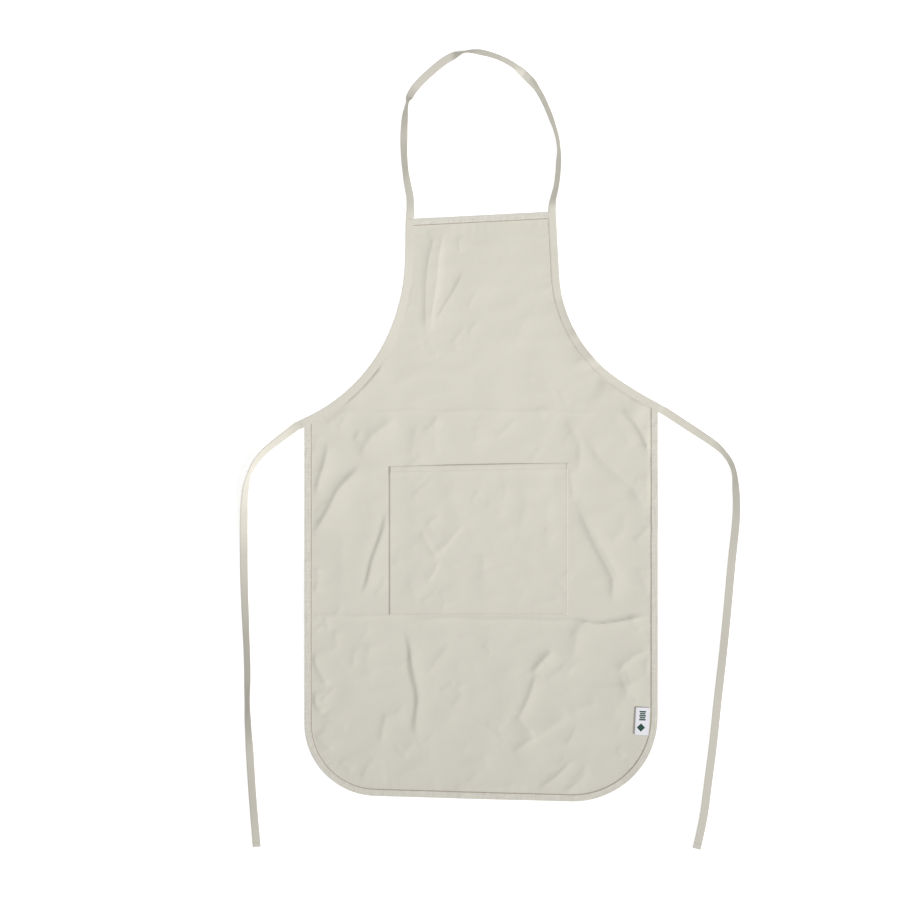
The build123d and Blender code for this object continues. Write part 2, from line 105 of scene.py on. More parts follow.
PANEL_CREASES = [
    # bib
    Crease(1.2, 4.5, 12, [(-66, 404), (-74, 364), (-82, 316), (-79, 262), (-75, 236)]),
    Crease(1.5, 12, 5, [(-54, 408), (-60, 364), (-67, 316), (-72, 262), (-75, 246)]),
    Crease(0.9, 3.2, 12, [(-24, 344), (-44, 306), (-68, 262)]),
    Crease(0.5, 3.6, 7, [(-78, 402), (-68, 378)]),
    Crease(0.6, 3.2, 7, [(-34, 393), (-30, 367)]),
    Crease(0.6, 3.4, 7, [(-84, 242), (-62, 216)]),
    Crease(0.5, 5, 3.2, [(-45, 242), (-32, 225)]),
    Crease(0.5, 3.4, 8, [(-24, 260), (-43, 237)]),
    Crease(0.8, 34, 30, [(66, 402), (21, 345), (-28, 284)]),
    Crease(0.8, 22, 26, [(88, 300), (60, 262), (44, 220)]),
    Crease(0.6, 16, 18, [(-92, 330), (-96, 280), (-88, 220)]),
    Crease(0.35, 4, 7, [(-88, 208), (-40, 196), (0, 202)]),
    Crease(0.35, 4, 6, [(-10, 190), (8, 172), (30, 168)]),
    Crease(0.4, 5, 6, [(62, 190), (88, 182), (104, 171)]),
    # under the armholes
    Crease(1.5, 12, 26, [(-137, 207), (-172, 173), (-206, 143)]),
    Crease(2.6, 8, 24, [(168, 186), (210, 158), (246, 142)]),
    Crease(1.2, 5, 12, [(-150, 226), (-166, 190)]),
    # across, from being folded in store
    Crease(0.5, 3.0, 3.8, [(-238, 137), (28, 138.5), (236, 135)]),
    Crease(0.9, 3.0, 3.8, [(-256, -159), (-190, -158), (-100, -160)]),
    Crease(1.2, 3.0, 4.2, [(-120, -162), (0, -162.5), (160, -166)]),
    Crease(2.6, 3.4, 8, [(124, -165), (166, -171), (204, -165), (248, -159)]),
    # from the left waist
    Crease(0.8, 14, 9, [(-66, 138), (-66, 106), (-67, 72)]),
    Crease(1.9, 4.2, 12, [(-222, 96), (-229, 55), (-241, 12)]),
    Crease(2.0, 10, 26, [(-122, 132), (-158, 104), (-178, 70)]),
    Crease(2.4, 4.6, 20, [(-172, 66), (-208, 22), (-246, -46)]),
    Crease(0.8, 7, 16, [(-92, 122), (-98, 92), (-104, 66)]),
    Crease(0.8, 5, 8, [(-240, -84), (-236, -104), (-239, -128)]),
    Crease(-0.9, 5.2, 3.2, [(-139, 2), (-156, -61), (-178, -133)]),
    Crease(1.5, 3.2, 15, [(-135, -4), (-152, -61), (-174, -131)]),
    Crease(0.7, 18, 22, [(-196, -30), (-204, -84), (-200, -132)]),
    # from the right waist
    Crease(3.0, 3.6, 12, [(202, 140), (220, 125), (234, 103), (248, 70)]),
    Crease(2.9, 9, 26, [(146, 114), (168, 72), (218, 28), (246, -14)]),
    Crease(1.7, 8, 15, [(123, 134), (142, 90), (141, 48)]),
    Crease(0.9, 8, 14, [(186, 134), (206, 110), (222, 84)]),
    Crease(2.4, 5, 15, [(134, 10), (157, -37), (189, -104), (192, -148)]),
    Crease(1.2, 4, 9, [(150, -16), (174, -58), (204, -116)]),
    Crease(1.0, 4, 8, [(127, 58), (131, 34), (134, 8)]),
    Crease(0.5, 4, 6, [(50, 130), (20, 97)]),
    Crease(0.45, 5, 3.6, [(91, 90), (70, 64)]),
    Crease(0.5, 4, 8, [(-8, 116), (-4, 90)]),
    Crease(0.6, 6, 9, [(204, -8), (205, -42)]),
    Crease(0.9, 5, 9, [(244, -26), (219, -52)]),
    Crease(0.9, 7, 11, [(226, -84), (236, -112), (244, -132)]),
    # under the pocket
    Crease(-1.0, 9, 4.2, [(-114, -176), (-108, -224), (-101, -280), (-103, -336)]),
    Crease(2.1, 4.2, 17, [(-110, -174), (-100, -224), (-92, -282), (-96, -342)]),
    Crease(2.0, 4.4, 14, [(106, -206), (88, -226), (72, -246)]),
    Crease(1.9, 4.8, 12, [(82, -240), (68, -276), (54, -308)]),
    Crease(1.3, 8, 4.4, [(50, -300), (64, -318), (78, -334)]),
    Crease(1.0, 5, 12, [(80, -330), (62, -345), (44, -358)]),
    Crease(0.9, 5, 13, [(-42, -196), (-62, -220), (-82, -247)]),
    Crease(0.55, 3.2, 9, [(-38, -189), (-10, -190), (19, -195)]),
    Crease(0.4, 3.4, 9, [(-4, -179), (22, -174), (52, -171)]),
    Crease(0.7, 4.6, 16, [(-70, -290), (-22, -313), (38, -349)]),
    Crease(1.1, 9, 13, [(141, -172), (138, -196), (132, -222)]),
    Crease(0.6, 24, 26, [(-10, -214), (-6, -256), (-12, -300)]),
    Crease(0.6, 8, 14, [(-160, -188), (-166, -226), (-158, -262)]),
    # along the left side and its corner
    Crease(1.5, 4.4, 12, [(-247, -208), (-236, -238), (-222, -264)]),
    Crease(1.5, 4.6, 12, [(-247, -266), (-237, -288), (-226, -302)]),
    Crease(0.7, 6, 14, [(-230, -298), (-212, -314), (-192, -324)]),
    Crease(0.9, 5, 10, [(-243, -328), (-230, -342), (-214, -357)]),
    Crease(0.9, 4.4, 8, [(-228, -158), (-222, -182)]),
    Crease(0.8, 6, 7, [(-212, -176), (-209, -200), (-214, -214)]),
    Crease(0.9, 4, 9, [(-137, -294), (-142, -322), (-145, -346)]),
    Crease(0.6, 5, 3.4, [(-127, -345), (-106, -367)]),
    Crease(0.5, 10, 10, [(-176, -388), (-136, -396)]),
    Crease(0.7, 5, 10, [(-206, -368), (-184, -384)]),
    # lower right
    Crease(1.4, 7, 6, [(246, -206), (222, -215), (206, -228), (199, -246)]),
    Crease(1.0, 7, 14, [(146, -262), (176, -264), (206, -262), (241, -243)]),
    Crease(1.2, 14, 28, [(186, -318), (198, -286), (222, -252)]),
    Crease(0.9, 12, 5, [(48, -355), (86, -330), (132, -298)]),
    Crease(0.9, 12, 8, [(128, -300), (150, -290), (172, -284)]),
    Crease(1.4, 4.6, 9, [(82, -411), (108, -391), (136, -366)]),
    Crease(0.8, 5, 9, [(118, -414), (142, -398), (158, -380)]),
    Crease(0.5, 4, 6, [(121, -231), (93, -253)]),
    Crease(0.5, 5, 8, [(-10, -400), (30, -406), (62, -402)]),
]

POCKET_CREASES = [
    Crease(0.8, 7, 3.0, [(-88, -32), (-76, -54), (-63, -77)]),
    Crease(0.8, 7, 3.0, [(-24, -24), (-42, -46), (-64, -68)]),
    Crease(0.8, 7, 3.2, [(-62, -76), (-68, -92), (-79, -110)]),
    Crease(0.8, 5, 9, [(66, -145), (96, -138), (125, -130)]),
    Crease(0.7, 8, 15, [(-108, -98), (-98, -126), (-88, -153)]),
    Crease(0.6, 9, 16, [(-60, -118), (-52, -134), (-44, -150)]),
    Crease(0.5, 3.6, 9, [(-66, 46), (-88, 26), (-104, 8)]),
    Crease(0.5, 12, 20, [(-30, 44), (-50, 10), (-96, -12)]),
    Crease(0.5, 14, 20, [(56, 40), (64, 0), (52, -44)]),
    Crease(0.5, 10, 16, [(100, 24), (92, -24), (104, -70)]),
    Crease(0.5, 16, 20, [(4, -60), (0, -104), (10, -148)]),
    Crease(0.4, 6, 9, [(32, 38), (36, 20), (30, 4)]),
]

# Sections of tape, as (share of the width from the folded edge, share of the height).
FREE_TOP = [
    (0.008, 0.76), (0.030, 0.93), (0.075, 1.00), (0.105, 1.00), (0.35, 1.00), (0.70, 1.00), (0.885, 1.00),
    (0.907, 0.98), (0.925, 0.93), (0.940, 0.80), (0.955, 0.93), (0.970, 0.95), (0.987, 0.91), (1.000, 0.80),
    (1.000, 0.62),
]
FREE_UNDERSIDE = [(share, 1 - height) for share, height in reversed(FREE_TOP)]
FREE_SECTION = [(0.000, 0.50), *FREE_TOP, (0.965, 0.50), *FREE_UNDERSIDE]
WRAPPED_SECTION = [
    (0.000, 0.50), (0.008, 0.76), (0.030, 0.93), (0.075, 1.00), (0.105, 1.00), (0.30, 1.00), (0.52, 1.00),
    (0.72, 1.00), (0.885, 1.00), (0.907, 0.99), (0.925, 0.95), (0.940, 0.84), (0.955, 0.94), (0.970, 0.96),
    (0.988, 0.94), (1.000, 0.88), (1.000, 0.70), (0.98, 0.66), (0.60, 0.66), (0.08, 0.66), (0.055, 0.50),
    (0.08, 0.34), (0.60, 0.34), (0.98, 0.34), (1.000, 0.28), (1.000, 0.10), (0.97, 0.02), (0.72, 0.00),
    (0.35, 0.00), (0.10, 0.00), (0.030, 0.07), (0.008, 0.24),
]
SEAM_SHARE = 0.94  # where the stitch line runs across a tape
ROUND_FOLD = 0.45 * MM  # length of the weave round the upper half of a tape's folded edge
SHORT_ROW = 30  # stitches made in one go

# Routes of the free tapes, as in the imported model.
LOOP_ROUTE = [
    (-103.9, 410), (-101, 440), (-108, 472), (-112, 505), (-112, 545), (-109, 582), (-98, 606),
    (-72, 631), (-47, 651), (-17, 661), (22, 653), (55, 635), (82, 606), (101, 565), (113, 526),
    (112, 490), (109, 463), (102.6, 441), (102.4, 421),
]
LEFT_TIE_ROUTE = [
    (-266.4, 117), (-291, 98), (-318, 77), (-335, 52), (-343, 18), (-344, -30), (-344, -95),
    (-341, -170), (-338, -235), (-339, -290), (-335, -360), (-331, -425), (-325, -493),
]
RIGHT_TIE_ROUTE = [
    (265.7, 138.4), (292, 121), (318, 104), (346, 85), (365, 60), (369, 25), (370, -15), (363, -75),
    (357, -145), (350, -215), (342, -285), (336, -345), (328, -405), (322, -455), (312, -496),
]
# How far each tape rolls onto its edge along its length: (share of the length, degrees).
LOOP_ROLL = [
    (0.00, 0), (0.04, -20), (0.08, -26), (0.12, -40), (0.16, -34), (0.20, -24), (0.24, -34), (0.285, -66),
    (0.305, -20), (0.335, -4), (0.44, -6), (0.48, -66), (0.52, -36), (0.57, -40), (0.61, -38), (0.65, 8),
    (0.69, 52), (0.76, 58), (0.80, 68), (0.84, 70), (0.88, 52), (0.93, 50), (0.965, 42), (1.00, 0),
]
LEFT_TIE_ROLL = [
    (0.00, 0), (0.05, -30), (0.11, -44), (0.16, -62), (0.20, -42), (0.26, -20), (0.36, 4), (0.46, 18),
    (0.54, 30), (0.62, 32), (0.67, 44), (0.73, 30), (0.79, 10), (0.90, 12), (1.00, 4),
]
RIGHT_TIE_ROLL = [
    (0.00, 0), (0.06, 10), (0.12, 28), (0.16, 54), (0.20, 58), (0.25, 32), (0.32, 20), (0.42, 12),
    (0.58, 14), (0.70, 5), (1.00, 3),
]
TIES = (("left", LEFT_TIE_ROUTE, LEFT_TIE_ROLL), ("right", RIGHT_TIE_ROUTE, RIGHT_TIE_ROLL))

# The label's print: how far out and along each mark lies, its height and breadth, and its turn.
LABEL_BARS = 5
LABEL_MARKS = [(1.6, -9.0, 8.6, 8.6, 45.0)]
LABEL_MARKS += [(0.0, 14.0 - 2.9 * k, 2.1, 9.5 - 1.5 * (k % 2), 0.0) for k in range(LABEL_BARS)]


# ---- settings -------------------------------------------------------------------------------------
def length_property(name, description, millimetres):
    """A length that a user can change, kept in metres."""
    return bpy.props.FloatProperty(
        name=name, description=description, default=millimetres * MM, min=0.0, precision=5, unit="LENGTH"
    )


def colour_property(name, description, colour):
    """A colour that a user can change."""
    return bpy.props.FloatVectorProperty(
        name=name, description=description, default=colour, min=0.0, max=1.0, size=3, subtype="COLOR"
    )


def number_property(name, description, value):
    """A plain number that a user can change."""
    return bpy.props.FloatProperty(name=name, description=description, default=value)


class ApronCloth(bpy.types.PropertyGroup):
    """Sizes and colour of the canvas."""

    thickness: length_property("Thickness", "Thickness of the canvas", 0.5)
    cell: length_property("Mesh cell", "Size of the panel's mesh cells", 2.25)
    back_cell: length_property("Back cell", "Size of the mesh cells of the panel's hidden side", 9.0)
    leaf: length_property("Leaf", "Thickness of one side of a folded binding", 0.55)
    web: length_property("Web", "Cloth round the outside of a wrapped edge", 0.6)
    yarn: length_property("Yarn", "Distance from one yarn of the weave to the next", 0.62)
    colour: colour_property("Canvas", "Colour of the canvas", (0.680, 0.651, 0.570))


class ApronTape(bpy.types.PropertyGroup):
    """Sizes and colour of the bindings and tapes."""

    width: length_property("Tape width", "Width of the armhole tapes, the neck loop and the ties", 11.5)
    thickness: length_property("Tape thickness", "Thickness of a free tape", 1.1)
    edge_band: length_property("Edge band", "Width of the binding round the skirt", 10.5)
    bib_band: length_property("Bib band", "Width of the binding along the bib's top", 10.8)
    wrapped: length_property("Wrapped edge", "Height of an edge wrapped by a binding", 1.6)
    pucker: length_property("Pucker", "How much the bindings ripple along their seams", 0.16)
    colour: colour_property("Tape", "Colour of the tapes", (0.705, 0.679, 0.602))
    # painted light: the bindings are painted lighter than the tape's own colour, to match the creased panel
    # beside them, which catches more light on its tilted flanks
    binding: colour_property("Binding", "Colour of the bindings", (0.760, 0.732, 0.655))


class ApronThread(bpy.types.PropertyGroup):
    """Sizes and colour of the sewing thread."""

    pitch: length_property("Stitch pitch", "Distance from one stitch to the next", 3.0)
    stitch: length_property("Stitch length", "Length of the thread that shows in one stitch", 2.4)
    width: length_property("Thread width", "Width of the thread", 0.45)
    colour: colour_property("Thread", "Colour of the thread", (0.40, 0.34, 0.25))
    pale: colour_property("Pale thread", "Colour of the thread of the pocket", (0.55, 0.51, 0.435))


class ApronPocket(bpy.types.PropertyGroup):
    """Sizes of the pocket."""

    cell: length_property("Mesh cell", "Size of the pocket's mesh cells", 2.1)
    hem: length_property("Hem", "Depth of the cloth turned in behind the mouth", 12.0)
    hem_seam: length_property("Hem seam", "Stitch line below the mouth", 7.0)
    seam: length_property("Seam", "Stitch line from the sewn edges", 2.0)
    room: length_property("Room", "How far the mouth's middle stands off the panel", 1.9)


class ApronLabel(bpy.types.PropertyGroup):
    """Sizes and colours of the side label."""

    thickness: length_property("Ribbon thickness", "Thickness of the label's ribbon", 0.28)
    lift: length_property("Lift", "How far the label's fold stands off the panel", 1.6)
    shift: length_property("Shift", "How far up the side it sits from its place in the model", 1.6)
    ribbon: colour_property("Ribbon", "Colour of the ribbon", (0.80, 0.78, 0.86))
    ink: colour_property("Ink", "Colour of the print", (0.02, 0.05, 0.035))


class ApronStage(bpy.types.PropertyGroup):
    """Camera and light."""

    camera_height: length_property("Camera height", "Height of the camera over the apron", 3080.0)
    lens: number_property("Lens", "Focal length in millimetres", 85.0)
    key: number_property("Key light", "Power of the main light, W", 1500.0)
    top: number_property("Top light", "Power of the light over the bib, W", 4.0)
    sky: number_property("Sky", "Strength of the light from all round", 0.33)


SETTINGS = {
    "apron_cloth": ApronCloth,
    "apron_tape": ApronTape,
    "apron_thread": ApronThread,
    "apron_pocket": ApronPocket,
    "apron_label": ApronLabel,
    "apron_stage": ApronStage,
}


# ---- arithmetic on many points at once ------------------------------------------------------------
def smooth_step(value):
    """0 below 0, 1 above 1, and a smooth rise between."""
    value = np.clip(value, 0.0, 1.0)
    return value * value * (3 - 2 * value)


def gate(value, low, high):
    """A smooth rise from 0 at low to 1 at high."""
    return smooth_step((value - low) / (high - low))


def crease_height(creases, x, y):
    """The height that creases add at each point, in metres."""
    total = np.zeros_like(x)
    # creases in cloth are never ruler straight, so the points they are measured from wander a little
    wander_x = x + 1.1 * MM * np.sin(y / (13 * MM) + 1.4 * np.sin(x / (29 * MM)))
    wander_y = y + 1.1 * MM * np.sin(x / (15 * MM) + 1.2 * np.sin(y / (33 * MM)))
    for crease in creases:
        corners = np.array(crease.points, float) * MM
        reach = 3.8 * MM * max(crease.shade, crease.lit)
        low, high = corners.min(0) - reach, corners.max(0) + reach
        near = np.where((x > low[0]) & (x < high[0]) & (y > low[1]) & (y < high[1]))[0]
        if not len(near):
            continue
        here = np.stack([wander_x[near], wander_y[near]], 1)
        runs = corners[1:] - corners[:-1]
        lengths = np.hypot(runs[:, 0], runs[:, 1])
        starts = np.concatenate([[0.0], np.cumsum(lengths)])
        chord = corners[-1] - corners[0]
        shaded = math.copysign(1.0, np.array([-chord[1], chord[0]]) @ AWAY_FROM_LIGHT)
        best = np.full(len(near), np.inf)
        side = np.zeros(len(near))
        share = np.zeros(len(near))
        for corner, run, length, start in zip(corners, runs, lengths, starts):
            off = here - corner
            along = np.clip(off @ run / length**2, 0, 1)
            gap = off - along[:, None] * run
            distance = np.hypot(gap[:, 0], gap[:, 1])
            square = np.array([-run[1], run[0]]) / length * shaded
            closer = distance < best
            best = np.where(closer, distance, best)
            side = np.where(closer, gap @ square, side)
            share = np.where(closer, (start + along * length) / starts[-1], share)
        width = MM * np.where(side > 0, crease.shade, crease.lit)
        fade = smooth_step(share / 0.24) * smooth_step((1 - share) / 0.24)
        total[near] += crease.rise * MM * fade * np.exp(-((best / width) ** CREST))
    return total


def small_creases(count, seed):
    """Short low folds scattered over the panel, as in any cotton that has been worn and folded."""
    draw = np.random.default_rng(seed)
    made = []
    while len(made) < count:
        x, y = draw.uniform(-245, 245), draw.uniform(-430, 395)
        if draw.random() > 0.30 + 0.7 * abs(x) / 245:
            continue  # fewer of them down the middle
        lean = math.copysign(1.0, x) * 0.9 if draw.random() < 0.7 else -0.9
        heading = math.pi / 2 + lean * draw.uniform(0.2, 1.1)
        half = draw.uniform(8, 22)
        bow = draw.uniform(-0.28, 0.28) * half
        run = np.array([math.cos(heading), math.sin(heading)])
        side = np.array([-run[1], run[0]])
        middle = np.array([x, y])
        points = [tuple(middle - run * half), tuple(middle + side * bow), tuple(middle + run * half)]
        made.append(Crease(draw.uniform(0.25, 0.75), draw.uniform(3.2, 5.0), draw.uniform(5, 10), points))
    return made


def crumple(x, y, count, shortest, longest, slope, seed):
    """Low random waves of cloth that has been folded and handled, about slope steep."""
    draw = np.random.default_rng(seed)
    total = np.zeros_like(x)
    for _ in range(count):
        wave = shortest * (longest / shortest) ** draw.random()
        heading = draw.random() * math.pi
        phase = draw.random() * 2 * math.pi
        across = x * math.cos(heading) + y * math.sin(heading)
        along = y * math.cos(heading) - x * math.sin(heading)
        bend = 0.7 * np.sin(along / (0.8 * wave) + phase * 1.7)
        total += wave * np.sin(2 * math.pi * across / wave + phase + bend)
    return total * slope / (math.sqrt(count) * 2 * math.pi)


def pinched(x, y, shortest, longest, slope, seed):
    """Faint sharp folds between softer hollows."""
    field = crumple(x, y, 7, shortest, longest, 1.0, seed)
    return -slope * np.sqrt(field**2 + (1.3 * MM) ** 2)


# ---- outline of the panel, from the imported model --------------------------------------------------
def ring_area(ring):
    """The area inside a ring of points, negative where it runs clockwise."""
    ahead = np.roll(ring, -1, 0)
    return np.sum(ring[:, 0] * ahead[:, 1] - ring[:, 1] * ahead[:, 0]) / 2


def outline_of(node):
    """The outline of a flat CAD node's upper face: an ordered ring of points, anticlockwise."""
    shape = bmesh.new()
    shape.from_mesh(frame["nodes"][node].data)
    bmesh.ops.remove_doubles(shape, verts=shape.verts, dist=1e-6)
    top = max(v.co.z for v in shape.verts) - 1e-5
    upper = {f for f in shape.faces if all(v.co.z > top for v in f.verts)}
    following = {}
    for face in upper:
        for loop in face.loops:
            if not any(other in upper for other in loop.edge.link_faces if other is not face):
                following[loop.vert] = loop.link_loop_next.vert
    start = next(iter(following))
    ring = [start]
    while following[ring[-1]] is not start:
        ring.append(following[ring[-1]])
    points = np.array([(v.co.x, v.co.y) for v in ring])
    shape.free()
    return points if ring_area(points) > 0 else points[::-1]


def between_corners(ring):
    """The ring cut at its four sharp corners, as chains keyed by where they lie."""
    back = ring - np.roll(ring, 1, 0)
    ahead = np.roll(ring, -1, 0) - ring
    turn = np.arctan2(back[:, 0] * ahead[:, 1] - back[:, 1] * ahead[:, 0], (back * ahead).sum(1))
    corners = np.where(np.abs(np.degrees(turn)) > 20)[0]
    chains = {}
    for first, last in zip(corners, np.roll(corners, -1)):
        count = (last - first) % len(ring)
        chain = ring[(first + np.arange(count + 1)) % len(ring)]
        middle = chain.mean(0)
        if np.ptp(chain[:, 0]) > 0.4:
            key = "skirt"
        elif np.ptp(chain[:, 1]) < 0.05:
            key = "bib"
        else:
            key = "left" if middle[0] < 0 else "right"
        chains[key] = chain
    return chains


def arc_lengths(points):
    """Distance along a chain of points to each of them."""
    steps = np.linalg.norm(np.diff(points, axis=0), axis=1)
    return np.concatenate([[0.0], np.cumsum(steps)])


def even_chain(points, step, smooth=3):
    """The chain with its points about a step apart, and its small facets smoothed away."""
    along = arc_lengths(points)
    stations = np.linspace(0, along[-1], max(3, int(round(along[-1] / step)) + 1))
    chain = np.stack([np.interp(stations, along, points[:, k]) for k in range(points.shape[1])], 1)
    for _ in range(smooth):
        chain[1:-1] = 0.25 * chain[:-2] + 0.5 * chain[1:-1] + 0.25 * chain[2:]
    return chain


def extended(points, before, after):
    """The chain run on straight past its two ends."""
    head = (points[0] - points[1]) / np.linalg.norm(points[0] - points[1])
    tail = (points[-1] - points[-2]) / np.linalg.norm(points[-1] - points[-2])
    parts = [points]
    if before:
        count = max(1, int(round(before / (2 * MM))))
        parts.insert(0, np.array([points[0] + head * before * k / count for k in range(count, 0, -1)]))
    if after:
        count = max(1, int(round(after / (2 * MM))))
        parts.append(np.array([points[-1] + tail * after * k / count for k in range(1, count + 1)]))
    return np.concatenate(parts)


def leftwards(points):
    """The unit normal on the left of the direction of travel, at each point of a chain."""
    run = np.gradient(points[:, :2], axis=0)
    run /= np.linalg.norm(run, axis=1)[:, None]
    return np.stack([-run[:, 1], run[:, 0]], 1)


OUTLINE = outline_of("body_panel")
CHAINS = between_corners(OUTLINE)
EDGES = {key: even_chain(chain, EDGE_STEP) for key, chain in CHAINS.items()}
EDGE_TREE = kdtree.KDTree(sum(len(chain) for chain in EDGES.values()))
EDGE_PLACES = []
for edge_chain in EDGES.values():
    for edge_point, edge_length in zip(edge_chain, arc_lengths(edge_chain)):
        EDGE_TREE.insert((edge_point[0], edge_point[1], 0), len(EDGE_PLACES))
        EDGE_PLACES.append(edge_length)
EDGE_TREE.balance()


def edge_distance(x, y):
    """How far each point is from the panel's edge, and how far along the edge its nearest point is."""
    found = [EDGE_TREE.find((a, b, 0)) for a, b in zip(x, y)]
    return np.array([f[2] for f in found]), np.array([EDGE_PLACES[f[1]] for f in found])


# ---- how the apron lies ---------------------------------------------------------------------------
def lie(x, y):
    """How far the whole apron stands off the surface at each point."""
    wave = 0.32 * MM * (1 + np.sin(x / (61 * MM) + 0.8 * np.sin(y / (83 * MM))))
    wave = wave * (1 + 0.6 * np.sin(y / (47 * MM) + 1.3 * np.sin(x / (109 * MM))))
    return wave + crease_height(LIFTS, x, y)


def panel_height(x, y):
    """Height of the middle of the panel's cloth."""
    cloth = bpy.context.scene.apron_cloth
    distance, along = edge_distance(x, y)
    free = gate(distance, 9.5 * MM, 15 * MM)
    inner = gate(distance, 10 * MM, 50 * MM)
    height = cloth.leaf + cloth.thickness / 2 + lie(x, y)
    height = height + free * CREASE_STRENGTH * crease_height(PANEL_CREASES, x, y)
    height = height + (0.4 + 0.6 * inner) * free * crumple(x, y, 26, 34 * MM, 130 * MM, 0.034, 7)
    height = height + free * CREASE_STRENGTH * crease_height(small_creases(120, 5), x, y)
    height = height + free * crumple(x, y, 24, 9 * MM, 28 * MM, 0.021, 11)
    height = height + free * pinched(x, y, 46 * MM, 90 * MM, 0.030, 23)
    # the seams draw the cloth in, which leaves short ripples square to them
    ripple = np.sin(along / (2.3 * MM) + 1.9 * np.sin(along / (17 * MM))) * np.sin(along / (31 * MM) + 0.6)
    seam = gate(distance, 9 * MM, 12 * MM) * (1 - gate(distance, 14 * MM, 34 * MM))
    height = height + 0.16 * MM * seam * ripple
    # the cloth never sinks into the table: its low places ease off just above it
    spare = height - cloth.thickness / 2 - CLEAR - lie(x, y)
    eased = (spare + np.sqrt(spare**2 + (0.25 * MM) ** 2)) / 2
    return height + free * (eased - spare)


# ---- meshes ---------------------------------------------------------------------------------------
def grid_shape(columns, rows):
    """A bmesh grid from 0 to 1 both ways."""
    shape = bmesh.new()
    bmesh.ops.create_grid(shape, x_segments=columns, y_segments=rows, size=0.5)
    bmesh.ops.translate(shape, verts=shape.verts, vec=(0.5, 0.5, 0))
    return shape


def lay(shape, place):
    """Moves the points of a grid to place(across, up) -> x, y, z, and gives it its weave, in metres."""
    across = np.array([v.co.x for v in shape.verts])
    up = np.array([v.co.y for v in shape.verts])
    x, y, z, weave_x, weave_y = place(across, up)
    weave = shape.loops.layers.uv.verify()
    for index, vert in enumerate(shape.verts):
        vert.co = (x[index], y[index], z[index])
        for loop in vert.link_loops:
            loop[weave].uv = (weave_x[index], weave_y[index])
    return shape


def piece_from(shape, name, sharp=40):
    """A finished bmesh as a smooth-shaded object at the origin."""
    mesh = bpy.data.meshes.new(name)
    shape.to_mesh(mesh)
    shape.free()
    mesh.uv_layers[0].name = "weave"
    mesh.shade_smooth()
    mesh.set_sharp_from_angle(angle=math.radians(sharp))
    piece = bpy.data.objects.new(name, mesh)
    bpy.context.scene.collection.objects.link(piece)
    return piece


def applied(piece):
    """The piece with its modifiers made part of its mesh."""
    made = bpy.data.meshes.new_from_object(piece.evaluated_get(bpy.context.evaluated_depsgraph_get()))
    piece.modifiers.clear()
    old = piece.data
    piece.data = made
    made.name = piece.name
    bpy.data.meshes.remove(old)
    return piece


def thickened(piece, thickness):
    """The piece's sheet given its cloth's thickness, half to each side."""
    wall = piece.modifiers.new("Cloth thickness", "SOLIDIFY")
    wall.thickness = thickness
    wall.offset = 0
    wall.use_quality_normals = True
    bpy.context.view_layer.update()
    return applied(piece)


# A strip's way: for each station its outer edge, the direction across it, its upward direction and
# the distance along it.
Way = namedtuple("Way", "edge across up along")


def sweep(name, way, section, width, heights, seams=0.0):
    """A closed strip of one section, run along a way. heights is its thickness at each station."""
    stations, ring = len(way.along), len(section)
    a = np.array([p[0] for p in section] + [section[0][0]])
    v = np.array([p[1] for p in section] + [section[0][1]])
    around = arc_lengths(np.stack([a * width, v * heights.mean()], 1))
    ripple = np.sin(way.along / (1.25 * MM) + 2.1 * np.sin(way.along / (9 * MM)))
    ripple = ripple * (0.6 + 0.4 * np.sin(way.along / (23 * MM)))

    def place(across, up):
        i = np.rint(across * ring).astype(int)
        j = np.rint(up * (stations - 1)).astype(int)
        pull = np.clip(1 - np.abs(a[i] - SEAM_SHARE + 0.12) / 0.34, 0, 1)
        puff = seams * ripple[j] * pull * np.where(v[i] > 0.5, 1.0, 0.0)
        spot = way.edge[j] + way.across[j] * (a[i] * width)[:, None]
        spot = spot + way.up[j] * (v[i] * heights[j] + puff)[:, None]
        return spot[:, 0], spot[:, 1], spot[:, 2], around[i], way.along[j]

    shape = lay(grid_shape(ring, stations - 1), place)
    bmesh.ops.remove_doubles(shape, verts=shape.verts, dist=1e-6)
    ends = [e for e in shape.edges if e.is_boundary]
    filled = bmesh.ops.holes_fill(shape, edges=ends, sides=0)
    bmesh.ops.triangulate(shape, faces=filled["faces"], ngon_method="EAR_CLIP")
    bmesh.ops.recalc_face_normals(shape, faces=shape.faces)
    return piece_from(shape, name)


def wrapped_way(chain, web):
    """The way of a binding folded over a chain of the panel's outline, which runs anticlockwise."""
    inwards = leftwards(chain)
    flat = np.zeros((len(chain), 1))
    edge = np.hstack([chain - inwards * web, flat])
    up = np.tile([0.0, 0.0, 1.0], (len(chain), 1))
    return Way(edge, np.hstack([inwards, flat]), up, arc_lengths(edge))


def map_flat(shape):
    """The bmesh's weave coordinates, taken from the places of its points."""
    weave = shape.loops.layers.uv.verify()
    for face in shape.faces:
        for loop in face.loops:
            loop[weave].uv = (loop.vert.co.x, loop.vert.co.y)


def join_in(shape, part):
    """Adds one bmesh to another, and frees it."""
    spare = bpy.data.meshes.new("part")
    part.to_mesh(spare)
    part.free()
    shape.from_mesh(spare)
    bpy.data.meshes.remove(spare)


def raised(piece, amount):
    """Lifts a piece's points by amount(x, y)."""
    places = np.empty(len(piece.data.vertices) * 3)
    piece.data.vertices.foreach_get("co", places)
    places = places.reshape(-1, 3)
    places[:, 2] += amount(places[:, 0], places[:, 1])
    piece.data.vertices.foreach_set("co", places.ravel())
    piece.data.update()
    return piece


